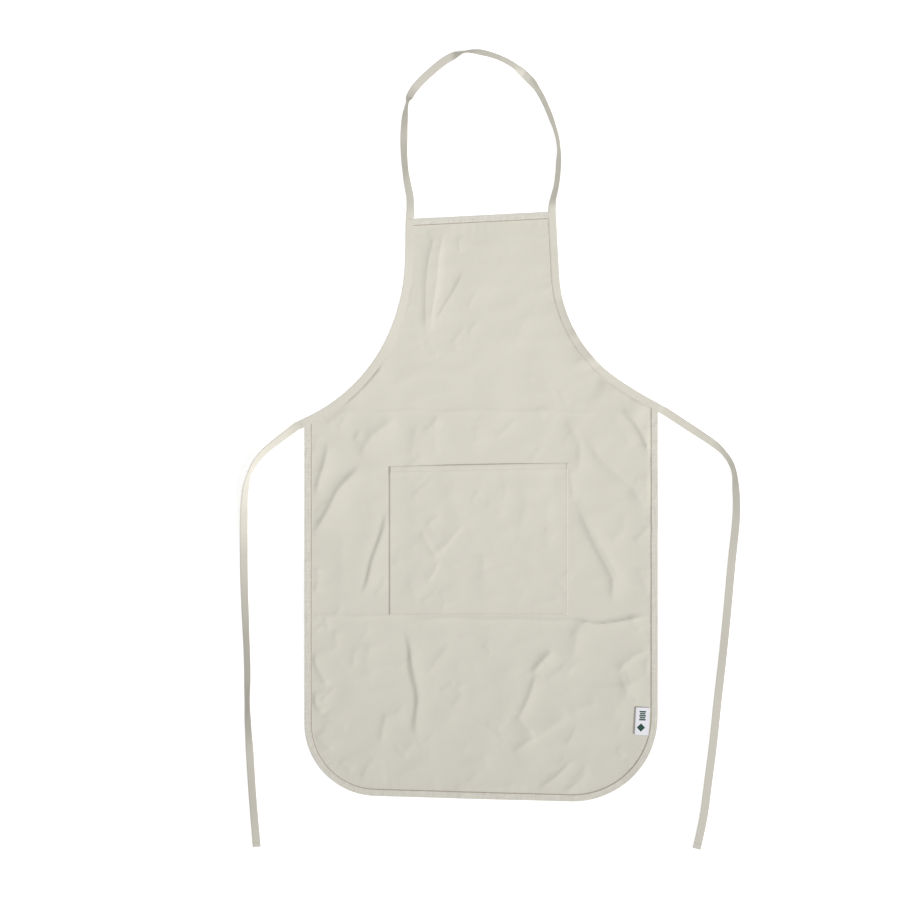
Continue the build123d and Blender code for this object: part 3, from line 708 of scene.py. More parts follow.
def route_points(route):
    """Points along the smooth line that a tape's route gives, and its control points are the route's."""
    curve = bpy.data.curves.new("route", "CURVE")
    curve.dimensions = "3D"
    spline = curve.splines.new("NURBS")
    spline.points.add(len(route) - 1)
    for point, (x, y) in zip(spline.points, route):
        point.co = (x * MM, y * MM, 0, 1)
    spline.order_u = 3
    spline.use_endpoint_u = True
    spline.resolution_u = 20
    bare = bpy.data.objects.new("route", curve)
    line = bpy.data.meshes.new_from_object(bare)
    points = np.array([v.co[:] for v in line.vertices])
    bpy.data.objects.remove(bare)
    bpy.data.meshes.remove(line)
    return points[:, :2]


def tape_way(points, rolls, width, thickness, folded_left, lift=None):
    """The way of a free tape: it rolls towards its edge where rolls says, and rests on the surface."""
    along = arc_lengths(points)
    share = along / along[-1]
    stops = np.array([r[0] for r in rolls])
    angles = np.radians([r[1] for r in rolls])
    place = np.clip(np.searchsorted(stops, share, side="right") - 1, 0, len(stops) - 2)
    step = smooth_step((share - stops[place]) / (stops[place + 1] - stops[place]))
    roll = angles[place] + step * (angles[place + 1] - angles[place])
    sideways = np.hstack([leftwards(points), np.zeros((len(points), 1))])
    if folded_left:
        sideways = -sideways
        roll = -roll
    straight_up = np.tile([0.0, 0.0, 1.0], (len(points), 1))
    cos, sin = np.cos(roll)[:, None], np.sin(roll)[:, None]
    across = sideways * cos + straight_up * sin
    up = straight_up * cos - sideways * sin
    height = width / 2 * np.abs(np.sin(roll)) + thickness / 2 * np.abs(np.cos(roll)) + CLEAR
    middle = np.hstack([points, height[:, None]])
    if lift is not None:
        middle[:, 2] += lift(middle[:, 0], middle[:, 1], along)
    return Way(middle - across * width / 2 - up * thickness / 2, across, up, along), middle


# ---- stitches -------------------------------------------------------------------------------------
def stitch_run(shape, middles, normals, start=0.0, stop=None):
    """One row of stitches along a line of points, half sunk in the cloth."""
    thread = bpy.context.scene.apron_thread
    along = arc_lengths(middles)
    stop = along[-1] if stop is None else stop
    count = max(1, int((stop - start) / thread.pitch))
    stations = start + (np.arange(count) + 0.5) * (stop - start) / count
    half = thread.stitch / 2

    def at(values, distances):
        return np.stack([np.interp(distances, along, values[:, k]) for k in range(3)], 1)

    centres, ups = at(middles, stations), at(normals, stations)
    tails, heads = at(middles, stations - half), at(middles, stations + half)
    size = Matrix.Diagonal((half, thread.width / 2, thread.width * 0.4, 1))
    for first in range(0, count, SHORT_ROW):
        row = bmesh.new()
        for k in range(first, min(first + SHORT_ROW, count)):
            run = Vector(heads[k] - tails[k]).normalized()
            side = Vector(ups[k]).cross(run).normalized()
            turn = Matrix((run, side, run.cross(side))).transposed().to_4x4()
            place = Matrix.Translation(centres[k]) @ turn @ size
            bmesh.ops.create_uvsphere(row, u_segments=6, v_segments=4, radius=1.0, matrix=place)
        join_in(shape, row)


def way_line(way, width, heights, side):
    """The stitch line of a strip, on its upper (side 1) or lower (side -1) face, and its normals."""
    share = 0.80 if side > 0 else 0.20
    line = way.edge + way.across * (SEAM_SHARE * width) + way.up * (share * heights)[:, None]
    return line, way.up * side


# ---- materials ------------------------------------------------------------------------------------
def link(tree, output, target):
    """Joins two sockets of a material."""
    tree.links.new(output, target)


def add_node(tree, kind, **values):
    """A new node, with its settings and its unlinked inputs set by name."""
    node = tree.nodes.new(kind)
    for key, value in values.items():
        if key in node.inputs:
            node.inputs[key].default_value = value
        else:
            setattr(node, key, value)
    return node


def math_node(tree, operation, first, second=None):
    """A Math node on sockets or plain numbers."""
    node = tree.nodes.new("ShaderNodeMath")
    node.operation = operation
    for socket, value in zip(node.inputs, (first, second)):
        if value is None:
            continue
        if isinstance(value, (int, float)):
            socket.default_value = value
        else:
            link(tree, value, socket)
    return node.outputs[0]


def mixed(tree, factor, first, second):
    """A colour mixed from two, each a socket or a plain colour."""
    node = tree.nodes.new("ShaderNodeMix")
    node.data_type = "RGBA"
    for name, value in (("Factor_Float", factor), ("A_Color", first), ("B_Color", second)):
        socket = next(s for s in node.inputs if s.identifier == name)
        if isinstance(value, bpy.types.NodeSocket):
            link(tree, value, socket)
        else:
            socket.default_value = value if name == "Factor_Float" else (*value, 1)
    return next(s for s in node.outputs if s.identifier == "Result_Color")


def scaled(tree, coordinates, size):
    """Coordinates stretched by size."""
    node = add_node(tree, "ShaderNodeMapping")
    node.inputs["Scale"].default_value = size
    link(tree, coordinates, node.inputs["Vector"])
    return node.outputs[0]


def noise_on(tree, coordinates, size, detail=2.0, roughness=0.5):
    """A noise pattern, from about 0 to 1."""
    node = add_node(tree, "ShaderNodeTexNoise", Scale=size, Detail=detail, Roughness=roughness)
    link(tree, coordinates, node.inputs["Vector"])
    return node.outputs["Fac"]


def spread(tree, value, low, high):
    """The value's range from low to high, spread to 0 to 1 and cut off there."""
    node = add_node(tree, "ShaderNodeMapRange")
    node.inputs["From Min"].default_value = low
    node.inputs["From Max"].default_value = high
    link(tree, value, node.inputs["Value"])
    return node.outputs[0]


def shade(colour, amount):
    """The colour made lighter or darker."""
    return tuple(min(1.0, channel * amount) for channel in colour)


def add_bump(tree, height, strength, depth, under=None):
    """A bump made from a height, on top of another where one is given."""
    bump = add_node(tree, "ShaderNodeBump", Strength=strength, Distance=depth)
    link(tree, height, bump.inputs["Height"])
    if under is not None:
        link(tree, under, bump.inputs["Normal"])
    return bump.outputs[0]


def new_material(name, **inputs):
    """A new material, its nodes and its surface, whose inputs are set by name with _ for a space."""
    material = bpy.data.materials.new(name)
    material.use_nodes = True
    surface = material.node_tree.nodes["Principled BSDF"]
    for key, value in inputs.items():
        surface.inputs[key.replace("_", " ")].default_value = value
    return material, material.node_tree, surface


def woven_material(name, colour, yarn, depth=0.12 * MM, seam=None, furrow_shade_strength=0.8):
    """Plain-woven natural cotton: yarns with slubs, soft mottling, seed flecks, painted shade between the
    yarns, and painted shade along the stitch line where a seam is given.
    """
    material, tree, surface = new_material(
        name, Roughness=0.92, Specular_IOR_Level=0.22, Sheen_Weight=0.12, Sheen_Roughness=0.6
    )
    weave = add_node(tree, "ShaderNodeUVMap", uv_map="weave").outputs[0]
    place = add_node(tree, "ShaderNodeTexCoord").outputs["Object"]

    # yarns over and under each other
    turns = math.pi / yarn
    split = add_node(tree, "ShaderNodeSeparateXYZ")
    link(tree, weave, split.inputs[0])
    warp = math_node(tree, "SINE", math_node(tree, "MULTIPLY", split.outputs["X"], turns))
    weft = math_node(tree, "SINE", math_node(tree, "MULTIPLY", split.outputs["Y"], turns))
    crossing = math_node(tree, "MULTIPLY", warp, weft)
    # thicker and thinner yarns, both ways
    long_slubs = noise_on(tree, scaled(tree, weave, (1.0 / yarn, 38.0, 1.0)), 1.0, 1.0)
    cross_slubs = noise_on(tree, scaled(tree, weave, (38.0, 1.0 / yarn, 1.0)), 1.0, 1.0)
    slubs = math_node(tree, "ADD", long_slubs, cross_slubs)
    fuzz = noise_on(tree, place, 2400.0, 2.0)
    relief = math_node(tree, "MULTIPLY_ADD", crossing, 0.30)
    link(tree, slubs, relief.node.inputs[2])
    relief = math_node(tree, "ADD", relief, math_node(tree, "MULTIPLY", fuzz, 0.25))

    # colour: yarn to yarn, soft clouds, and painted shade between the yarns
    clouds = noise_on(tree, place, 14.0, 3.0, 0.55)
    body = mixed(tree, spread(tree, clouds, 0.3, 0.7), shade(colour, 0.985), shade(colour, 1.012))
    body = mixed(tree, spread(tree, slubs, 0.75, 1.3), shade(colour, 0.90), body)
    # heavier yarns here and there show as faint streaks along the cloth
    streaks = math_node(
        tree, "ADD",
        noise_on(tree, scaled(tree, weave, (0.24 / yarn, 26.0, 1.0)), 1.0, 3.0, 0.65),
        noise_on(tree, scaled(tree, weave, (26.0, 0.24 / yarn, 1.0)), 1.0, 3.0, 0.65),
    )
    body = mixed(tree, spread(tree, streaks, 0.84, 1.16), shade(colour, 0.84), body)
    # painted shade: darker where the yarns dip between their crossings
    yarn_gap_shade = spread(tree, crossing, -1.0, -0.3)
    body = mixed(tree, yarn_gap_shade, shade(colour, 0.84), body)
    seeds = spread(tree, noise_on(tree, place, 620.0, 1.0), 0.795, 0.83)
    warm = (colour[0] * 0.62, colour[1] * 0.52, colour[2] * 0.40)
    body = mixed(tree, math_node(tree, "MULTIPLY", seeds, 0.55), body, warm)
    if seam is not None:
        # painted shade: a dark brown line painted along the stitch line, for the shadow in its pressed furrow
        # and along the tape's inner edge
        gap = math_node(tree, "ABSOLUTE", math_node(tree, "SUBTRACT", split.outputs["X"], seam))
        furrow_shade_mask = math_node(tree, "SUBTRACT", 1.0, spread(tree, gap, 0.35 * MM, 0.9 * MM))
        furrow_shade_colour = (colour[0] * 0.44, colour[1] * 0.39, colour[2] * 0.31)
        body = mixed(tree, math_node(tree, "MULTIPLY", furrow_shade_mask, furrow_shade_strength), body, furrow_shade_colour)
    link(tree, body, surface.inputs["Base Color"])

    # the soft unevenness of washed cloth, with the yarns on top of it
    from_middle = math_node(tree, "SUBTRACT", noise_on(tree, place, 42.0, 2.0, 0.5), 0.5)
    rumples = math_node(tree, "MULTIPLY_ADD", math_node(tree, "ABSOLUTE", from_middle), -1.5)
    link(tree, noise_on(tree, place, 85.0, 4.0, 0.55), rumples.node.inputs[2])
    soft = add_bump(tree, rumples, 0.8, 1.5 * MM)
    link(tree, add_bump(tree, relief, 0.75, depth, soft), surface.inputs["Normal"])
    return material


def thread_material(name, colour):
    """Twisted cotton thread, with painted shade in the grooves of its twist and painted light on its plies.
    """
    material, tree, surface = new_material(name, Roughness=0.7, Sheen_Weight=0.2)
    place = add_node(tree, "ShaderNodeTexCoord").outputs["Object"]
    twist = add_node(tree, "ShaderNodeTexWave", bands_direction="DIAGONAL", Scale=900.0, Distortion=2.0)
    link(tree, place, twist.inputs["Vector"])
    # painted shade and light: darker in the twist's grooves, lighter on its plies, following its bump
    body = mixed(tree, twist.outputs["Fac"], shade(colour, 0.86), shade(colour, 1.08))
    link(tree, body, surface.inputs["Base Color"])
    link(tree, add_bump(tree, twist.outputs["Fac"], 0.5, 0.08 * MM), surface.inputs["Normal"])
    return material


def ribbon_material(colour):
    """Smooth white label ribbon, finely ribbed, with painted shade between its ribs."""
    material, tree, surface = new_material("label_ribbon", Roughness=0.55, Sheen_Weight=0.1)
    weave = add_node(tree, "ShaderNodeUVMap", uv_map="weave").outputs[0]
    ribs = add_node(tree, "ShaderNodeTexWave", bands_direction="Y", Scale=520.0, Distortion=0.3)
    link(tree, weave, ribs.inputs["Vector"])
    clouds = noise_on(tree, weave, 160.0, 2.0)
    body = mixed(tree, clouds, shade(colour, 0.96), shade(colour, 1.02))
    # painted shade: darker where the ribs dip
    body = mixed(tree, ribs.outputs["Fac"], shade(colour, 0.95), body)
    link(tree, body, surface.inputs["Base Color"])
    link(tree, add_bump(tree, ribs.outputs["Fac"], 0.4, 0.06 * MM), surface.inputs["Normal"])
    return material


def ink_material(colour):
    """Label ink, a little worn where it sits in the ribs."""
    material, tree, surface = new_material("label_ink", Roughness=0.6)
    place = add_node(tree, "ShaderNodeTexCoord").outputs["Object"]
    wear = noise_on(tree, place, 900.0, 2.0)
    body = mixed(tree, spread(tree, wear, 0.45, 0.7), colour, shade(colour, 2.2))
    link(tree, body, surface.inputs["Base Color"])
    return material


def cloth_finish(name):
    """The shared materials of the object, made when first asked for."""
    if name in bpy.data.materials:
        return bpy.data.materials[name]
    scene = bpy.context.scene
    tape, cloth = scene.apron_tape, scene.apron_cloth
    tape_yarn = cloth.yarn * 0.85
    if name == "canvas":
        return woven_material("canvas", tuple(cloth.colour), cloth.yarn)
    if name == "tape":
        seam = SEAM_SHARE * tape.width + ROUND_FOLD
        return woven_material("tape", tuple(tape.colour), tape_yarn, 0.1 * MM, seam, 1.0)
    if name == "edge_binding":
        seam = SEAM_SHARE * tape.edge_band + ROUND_FOLD
        # painted light: the bindings take the tape's cloth in a lighter copy of its colour
        return woven_material("edge_binding", tuple(tape.binding), tape_yarn, 0.1 * MM, seam)
    if name == "cotton_thread":
        return thread_material(name, tuple(scene.apron_thread.colour))
    if name == "pale_thread":
        return thread_material(name, tuple(scene.apron_thread.pale))
    if name == "label_ribbon":
        return ribbon_material(tuple(scene.apron_label.ribbon))
    if name == "label_ink":
        return ink_material(tuple(scene.apron_label.ink))
    raise RuntimeError(f"there is no finish named {name}")


def finished(piece, finish, slot, *nodes):
    """Gives a piece its material, and hides the CAD nodes that it stands for. The slot is not used."""
    piece.data.materials.clear()
    piece.data.materials.append(cloth_finish(finish))
    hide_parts(*nodes)
    return piece


def sewn(name, shape, node, finish="cotton_thread", body="apron", bend=None):
    """A finished seam that rides on a body or, where a bend is given, stays where it was made with its
    transform baked in.
    """
    map_flat(shape)
    seam = finished(piece_from(shape, name), finish, "thread", node)
    if bend is None:
        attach(seam, body)
    else:
        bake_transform(seam)


# ---- free tapes -----------------------------------------------------------------------------------
def bib_direction():
    """The bib's top edge: a point on it, its direction to the right, and its normal upwards."""
    chain = CHAINS["bib"]
    left, right = chain[np.argmin(chain[:, 0])], chain[np.argmax(chain[:, 0])]
    run = (right - left) / np.linalg.norm(right - left)
    up = np.array([-run[1], run[0]])
    return (left + right) / 2 + up * bpy.context.scene.apron_cloth.web, run, up


def root_lift(length, both):
    """Lets a tape share the apron's lie near where it leaves the apron."""

    def lift(x, y, along):
        gone = np.minimum(along, length - along) if both else along
        return lie(x, y) * (1 - gate(gone, 0.0, TAPE_LIFT_FADE))

    return lift


class APRON_OT_stage(bpy.types.Operator):
    """Make the floor, the lights and the camera"""

    bl_idname = "apron.stage"
    bl_label = "Stage"
    bl_options = {"REGISTER", "UNDO"}

    def execute(self, context):
        scene = context.scene
        stage = scene.apron_stage
        shape = grid_shape(1, 1)
        bmesh.ops.translate(shape, verts=shape.verts, vec=(-0.5, -0.5, 0))
        bmesh.ops.scale(shape, verts=shape.verts, vec=(40, 40, 1))
        bmesh.ops.translate(shape, verts=shape.verts, vec=(0, 0, -FLOOR_DROP))
        shape.loops.layers.uv.verify()
        floor = piece_from(shape, "floor")
        paper, _, _ = new_material(
            "white_paper", Base_Color=(0.86, 0.86, 0.86, 1), Roughness=1.0, Specular_IOR_Level=0.0,
            Emission_Color=(1, 1, 1, 1), Emission_Strength=0.45,
        )
        floor.data.materials.append(paper)

        world = bpy.data.worlds.new("studio")
        world.use_nodes = True
        world.node_tree.nodes["Background"].inputs["Color"].default_value = (1, 1, 1, 1)
        world.node_tree.nodes["Background"].inputs["Strength"].default_value = stage.sky
        scene.world = world

        for name, place, aim, size, power in (
            ("key_light", (10.2, -6.2, 9.0), (0, 0, 0), 3.5, stage.key),
            ("top_light", (-0.05, 0.32, 1.06), (-0.05, 0.32, 0), 0.8, stage.top),
        ):
            lamp = bpy.data.lights.new(name, "AREA")
            lamp.shape = "DISK"
            lamp.size = size
            lamp.energy = power
            light = bpy.data.objects.new(name, lamp)
            light.location = place
            light.rotation_euler = (Vector(aim) - Vector(place)).to_track_quat("-Z", "Y").to_euler()
            scene.collection.objects.link(light)

        camera = bpy.data.objects.new("camera", bpy.data.cameras.new("camera"))
        camera.data.lens = stage.lens
        camera.data.sensor_width = 36.0
        camera.data.clip_end = 30.0
        camera.location = (*CAMERA_OVER, stage.camera_height)
        scene.collection.objects.link(camera)
        scene.camera = camera
        scene.view_settings.view_transform = "Standard"
        return {"FINISHED"}


class APRON_OT_neck_loop(bpy.types.Operator):
    """Make the neck loop, from one corner of the bib round to the other, and its seam"""

    bl_idname = "apron.neck_loop"
    bl_label = "Neck loop"
    bl_options = {"REGISTER", "UNDO"}

    def execute(self, context):
        tape = context.scene.apron_tape
        points = route_points(LOOP_ROUTE)
        middle, _, up = bib_direction()
        over = (points - middle) @ up
        inside = np.where(over > 0)[0]
        first, last = inside[0], inside[-1]
        ends = []
        for low, high in ((first - 1, first), (last + 1, last)):
            share = over[low] / (over[low] - over[high])
            ends.append(points[low] + share * (points[high] - points[low]))
        points = np.concatenate([[ends[0]], points[first : last + 1], [ends[1]]])
        length = arc_lengths(points)[-1]
        lift = root_lift(length, True)
        way, line = tape_way(points, LOOP_ROLL, tape.width, tape.thickness, True, lift)
        near = 1 - gate(np.minimum(way.along, length - way.along), 0.0, 16 * MM)
        heights = tape.thickness + (tape.wrapped + 0.15 * MM - tape.thickness) * near
        loop = sweep("neck_loop_tape", way, FREE_SECTION, tape.width, heights, tape.pucker * 0.4)
        finished(loop, "tape", "tape", "neck_loop")
        start = Vector((*middle, 1 * MM))
        bend = (start, start + Vector((*up, 0)) * LOOP_BEND)
        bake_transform(loop)
        shape = bmesh.new()
        for side in (1, -1):
            stitch_run(shape, *way_line(way, tape.width, heights, side), 2 * MM, length - 2 * MM)
        sewn("neck_loop_seam", shape, "neck_loop_stitching", body="neck_loop", bend=bend)
        return {"FINISHED"}


class APRON_OT_ties(bpy.types.Operator):
    """Make the two waist ties, with their seams and turned-in ends"""

    bl_idname = "apron.ties"
    bl_label = "Waist ties"
    bl_options = {"REGISTER", "UNDO"}

    def execute(self, context):
        for side, route, rolls in TIES:
            self.make_tie(context, side, route, rolls)
        return {"FINISHED"}

    def make_tie(self, context, side, route, rolls):
        """One tie, from its root at the waist corner."""
        tape = context.scene.apron_tape
        # it starts a little inside the armhole tape's end, so no slit opens between them
        points = extended(route_points(route), ROOT_OVERLAP, 0.0)
        length = arc_lengths(points)[-1]
        lift = root_lift(length, False)
        way, line = tape_way(points, rolls, tape.width, tape.thickness, side == "left", lift)
        # the turned-in end is a little thicker, and its very end is pressed thin
        end = length - way.along
        heights = tape.thickness * (1 + 0.35 * (1 - gate(end, 7 * MM, 10 * MM)) * gate(end, 0.0, 1.2 * MM))
        strap = sweep(f"{side}_tie_tape", way, FREE_SECTION, tape.width, heights, tape.pucker * 0.4)
        finished(strap, "tape", "tape", f"{side}_tie")
        start = Vector((*points[0], 0.6 * MM))
        heading = Vector((*(points[6] - points[0]), 0)).normalized()
        before, past = TIE_BEND
        bend = (start - heading * before, start + heading * past)
        body = f"{side}_tie"
        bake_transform(strap)
        shape = bmesh.new()
        for face in (1, -1):
            stitch_run(shape, *way_line(way, tape.width, heights, face), 2 * MM, length - 3 * MM)
        sewn(f"{side}_tie_seam", shape, f"{side}_tie_stitching", body=body, bend=bend)
        # the row across the turned-in end
        shape = bmesh.new()
        at = int(np.argmin(np.abs(way.along - (length - 6 * MM))))
        for face, level in ((1, 1.0), (-1, 0.0)):
            foot = way.edge[at] + way.up[at] * level * heights[at]
            row = np.array([foot + way.across[at] * tape.width * s for s in (0.06, 0.3, 0.6, 0.94)])
            stitch_run(shape, row, np.tile(way.up[at] * face, (4, 1)))
        sewn(f"{side}_tie_end_seam", shape, f"{side}_tie_end_tack", body=body)


# ---- panel, bindings and armhole tapes ------------------------------------------------------------
def panel_rows():
    """Where the rows of the panel lie: functions from a row's share of the height to its line and ends."""
    hem, bib = EDGES["skirt"], CHAINS["bib"]
    flat = hem[(np.abs(hem[:, 0] + 0.01) < 0.1) & (hem[:, 1] < -0.3)]
    hem_slope, hem_y = np.polyfit(flat[:, 0], flat[:, 1], 1)
    bib_slope, bib_y = np.polyfit(bib[:, 0], bib[:, 1], 1)
    ring = np.concatenate([EDGES[key] for key in ("skirt", "right", "bib", "left")])
    rise, twist = bib_y - hem_y, bib_slope - hem_slope
    share = (ring[:, 1] - hem_y - hem_slope * ring[:, 0]) / (rise + twist * ring[:, 0])
    sides = []
    for sign in (-1, 1):
        here = (ring[:, 0] * sign > 0) & ((share < 0.999) | (np.abs(ring[:, 0]) > 0.09))
        order = np.argsort(share[here], kind="stable")
        rows, reach = share[here][order], np.abs(ring[here][order][:, 0])
        at_hem = rows < 0.0008
        rows_up = np.concatenate([[0.0], rows[~at_hem]])
        sides.append((rows_up, sign * np.concatenate([[reach[at_hem].max()], reach[~at_hem]])))

    def line(up):
        return hem_y + up * rise, hem_slope + up * twist

    def ends(up):
        return np.interp(up, *sides[0]), np.interp(up, *sides[1])

    return line, ends


class APRON_OT_panel(bpy.types.Operator):
    """Make the apron's canvas, bib and skirt in one, with its creases"""

    bl_idname = "apron.panel"
    bl_label = "Canvas panel"
    bl_options = {"REGISTER", "UNDO"}

    def execute(self, context):
        cloth = context.scene.apron_cloth
        low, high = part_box("body_panel")
        line, ends = panel_rows()

        def place_at(height):
            def place(across, up):
                base, slope = line(up)
                left, right = ends(up)
                x = left + across * (right - left)
                y = base + slope * x
                return x, y, height(x, y), x, y

            return place

        def front(x, y):
            return panel_height(x, y) + cloth.thickness / 2

        def back(x, y):
            return cloth.leaf + lie(x, y)

        size = high - low
        front_grid = (int(size.x / cloth.cell), int(size.y / cloth.cell))
        back_grid = (int(size.x / cloth.back_cell), int(size.y / cloth.back_cell))
        shape = lay(grid_shape(*front_grid), place_at(front))
        front_rim = [e for e in shape.edges if e.is_boundary]
        under = lay(grid_shape(*back_grid), place_at(back))
        for face in under.faces:
            face.normal_flip()
        join_in(shape, under)
        back_rim = [e for e in shape.edges if e.is_boundary and e not in set(front_rim)]
        bmesh.ops.bridge_loops(shape, edges=front_rim + back_rim)
        bmesh.ops.recalc_face_normals(shape, faces=shape.faces)
        panel = finished(piece_from(shape, "canvas_panel"), "canvas", "canvas", "body_panel")
        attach(panel, "apron")
        return {"FINISHED"}


def bound_edge(context, name, chain, width, heights, node, finish, seam_name, seam_node, trim=(0.0, 0.0)):
    """A strip folded over one edge of the panel, and the seam along it."""
    cloth, tape = context.scene.apron_cloth, context.scene.apron_tape
    way = wrapped_way(chain, cloth.web)
    strip = sweep(name, way, WRAPPED_SECTION, width, heights, tape.pucker)
    raised(strip, lie)
    finished(strip, finish, "tape", node)
    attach(strip, "apron")
    line, ups = way_line(way, width, heights, 1)
    line[:, 2] += lie(line[:, 0], line[:, 1])
    shape = bmesh.new()
    stitch_run(shape, line, ups, trim[0], way.along[-1] - trim[1])
    sewn(seam_name, shape, seam_node)


class APRON_OT_bindings(bpy.types.Operator):
    """Make the bindings of the skirt and of the bib's top, and their seams"""

    bl_idname = "apron.bindings"
    bl_label = "Edge bindings"
    bl_options = {"REGISTER", "UNDO"}

    def execute(self, context):
        tape = context.scene.apron_tape
        skirt = EDGES["skirt"]
        bound_edge(
            context, "skirt_binding", skirt, tape.edge_band, np.full(len(skirt), tape.wrapped),
            "skirt_edge_binding", "edge_binding", "skirt_seam", "skirt_edge_stitching", (7 * MM, 7 * MM),
        )
        bib = EDGES["bib"]
        bound_edge(
            context, "bib_binding", bib, tape.bib_band, np.full(len(bib), tape.wrapped),
            "bib_top_binding", "edge_binding", "bib_seam", "bib_top_stitching", (11 * MM, 11 * MM),
        )
        return {"FINISHED"}


class APRON_OT_armhole_tapes(bpy.types.Operator):
    """Make the tapes folded over the armholes, down to the roots of the ties, and their seams"""

    bl_idname = "apron.armhole_tapes"
    bl_label = "Armhole tapes"
    bl_options = {"REGISTER", "UNDO"}

    def execute(self, context):
        tape, cloth = context.scene.apron_tape, context.scene.apron_cloth
        for side in ("left", "right"):
            chain = EDGES[side]
            top_first = chain[0][1] > chain[-1][1]
            before, after = (cloth.web, ARMHOLE_STUB) if top_first else (ARMHOLE_STUB, cloth.web)
            chain = extended(chain, before, after)
            along = arc_lengths(chain)
            from_root = along[-1] - along if top_first else along
            # it is thicker where it covers the skirt binding's end
            over_binding = 0.35 * MM * (1 - gate(np.abs(from_root - ARMHOLE_STUB), 4 * MM, 14 * MM))
            heights = tape.wrapped + 0.15 * MM + over_binding
            heights = heights - (heights - tape.thickness) * (1 - gate(from_root, 0.0, 9 * MM))
            bound_edge(
                context, f"{side}_armhole_strip", chain, tape.width, heights,
                f"{side}_armhole_tape", "tape", f"{side}_armhole_seam", f"{side}_armhole_stitching",
                (2 * MM, 2 * MM),
            )
        return {"FINISHED"}


# ---- pocket ---------------------------------------------------------------------------------------
def pocket_corners():
    """The pocket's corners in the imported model: lower left, lower right, upper left, upper right."""
    verts = np.array([v.co[:2] for v in frame["nodes"]["pocket_panel"].data.vertices])
    return [verts[np.argmax(verts @ np.array(way))] for way in ((-1, -1), (1, -1), (-1, 1), (1, 1))]


def pocket_place(across, depth, drop=0.0):
    """Points of the pocket's front: their places on the panel and heights. depth is 0 at the bottom."""
    pocket, cloth = bpy.context.scene.apron_pocket, bpy.context.scene.apron_cloth
    low_left, low_right, top_left, top_right = pocket_corners()
    a, d = across[:, None], depth[:, None]
    spot = (1 - d) * ((1 - a) * low_left + a * low_right) + d * ((1 - a) * top_left + a * top_right)
    x, y = spot[:, 0], spot[:, 1]
    width = low_right[0] - low_left[0]
    length = top_left[1] - low_left[1]
    from_side = np.minimum(across, 1 - across) * width
    from_foot = depth * length
    free = gate(from_side, 3 * MM, 26 * MM) * gate(from_foot, 3 * MM, 30 * MM)
    bag = gate(from_side, 2 * MM, 95 * MM) * gate(from_foot, 2 * MM, 60 * MM) * (0.22 + 0.78 * depth**3)
    doubled = gate(length - from_foot, 14 * MM, 10 * MM)
    height = panel_height(x, y) + cloth.thickness + CLEAR + pocket.room * bag
    height = height + 0.5 * MM * doubled * (1 - 0.6 * gate(from_side, 16 * MM, 60 * MM))
    height = height + free * CREASE_STRENGTH * crease_height(POCKET_CREASES, x, y)
    height = height + free * crumple(x, y, 20, 16 * MM, 60 * MM, 0.018, 31)
    height = height + free * pinched(x, y, 40 * MM, 80 * MM, 0.030, 37)
    return x, y, height - drop


class APRON_OT_pocket(bpy.types.Operator):
    """Make the patch pocket, its turned-in mouth, its seams and its corner tacks"""

    bl_idname = "apron.pocket"
    bl_label = "Pocket"
    bl_options = {"REGISTER", "UNDO"}

    def execute(self, context):
        pocket, cloth = context.scene.apron_pocket, context.scene.apron_cloth
        low_left, low_right, top_left, top_right = pocket_corners()
        width = low_right[0] - low_left[0]
        length = top_left[1] - low_left[1]
        fold = 0.32 * MM
        turn = math.pi * fold
        whole = length + turn + pocket.hem

        def place(across, up):
            run = up * whole
            angle = np.clip((run - length) / turn, 0, 1) * math.pi
            past = np.clip(run - length - turn, 0, None)
            depth = np.where(run < length, run, length + fold * np.sin(angle) - past) / length
            drop = fold * (1 - np.cos(angle))
            x, y, z = pocket_place(across, np.clip(depth, 0, 1.002), drop)
            return x, y, z, across * width, run

        grid = (int(width / pocket.cell), int(whole / pocket.cell))
        patch = piece_from(lay(grid_shape(*grid), place), "pocket_patch", 60)
        thickened(patch, cloth.thickness)
        finished(patch, "canvas", "canvas", "pocket_panel")
        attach(patch, "apron")
        self.sew(context, width, length)
        return {"FINISHED"}

    def sew(self, context, width, length):
        """The pocket's rows of stitches and its two corner tacks."""
        pocket, cloth = context.scene.apron_pocket, context.scene.apron_cloth
        side, foot = pocket.seam / width, pocket.seam / length
        top = 1 - 1.5 * MM / length

        def row(corners):
            path = even_chain(np.array(corners, float), 0.01, 0)
            x, y, z = pocket_place(path[:, 0], path[:, 1])
            line = np.stack([x, y, z + cloth.thickness / 2 + 0.04 * MM], 1)
            return line, np.tile([0.0, 0.0, 1.0], (len(line), 1))

        shape = bmesh.new()
        stitch_run(shape, *row([(side, top), (side, foot), (1 - side, foot), (1 - side, top)]))
        sewn("pocket_seam", shape, "pocket_seam_stitching", "pale_thread")
        shape = bmesh.new()
        level = 1 - pocket.hem_seam / length
        stitch_run(shape, *row([(side, level), (1 - side, level)]))
        sewn("pocket_hem_seam", shape, "pocket_hem_stitching", "pale_thread")
        shape = bmesh.new()
        for across in (side, 1 - side):
            for step in range(9):
                level = 1 - (1.0 + step * 0.8) * MM / length
                reach = 1.1 * MM / width
                line, ups = row([(across - reach, level), (across + reach, level + 0.1 * MM / length)])
                line[:, 2] += 0.12 * MM
                stitch_run(shape, line, ups)
        sewn("pocket_tacks", shape, "pocket_corner_tacks", "pale_thread")


# ---- label ----------------------------------------------------------------------------------------
def label_frame():
    """The label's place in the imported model: its seam's middle, its direction outwards, along, its size."""
    verts = np.array([v.co[:2] for v in frame["nodes"]["side_label"].data.vertices])
    joint = next(j for j in frame["joints"] if j["name"] == "label_flip")
    axis = np.array(joint["axis"][:2], float)
    along = axis / np.linalg.norm(axis) * (1 if axis[1] > 0 else -1)
    out = np.array([-along[1], along[0]])
    flat_out, flat_along = verts @ out, verts @ along
    root = out * flat_out.min() + along * (flat_along.min() + flat_along.max()) / 2
    return root, out, along, np.ptp(flat_out), np.ptp(flat_along)


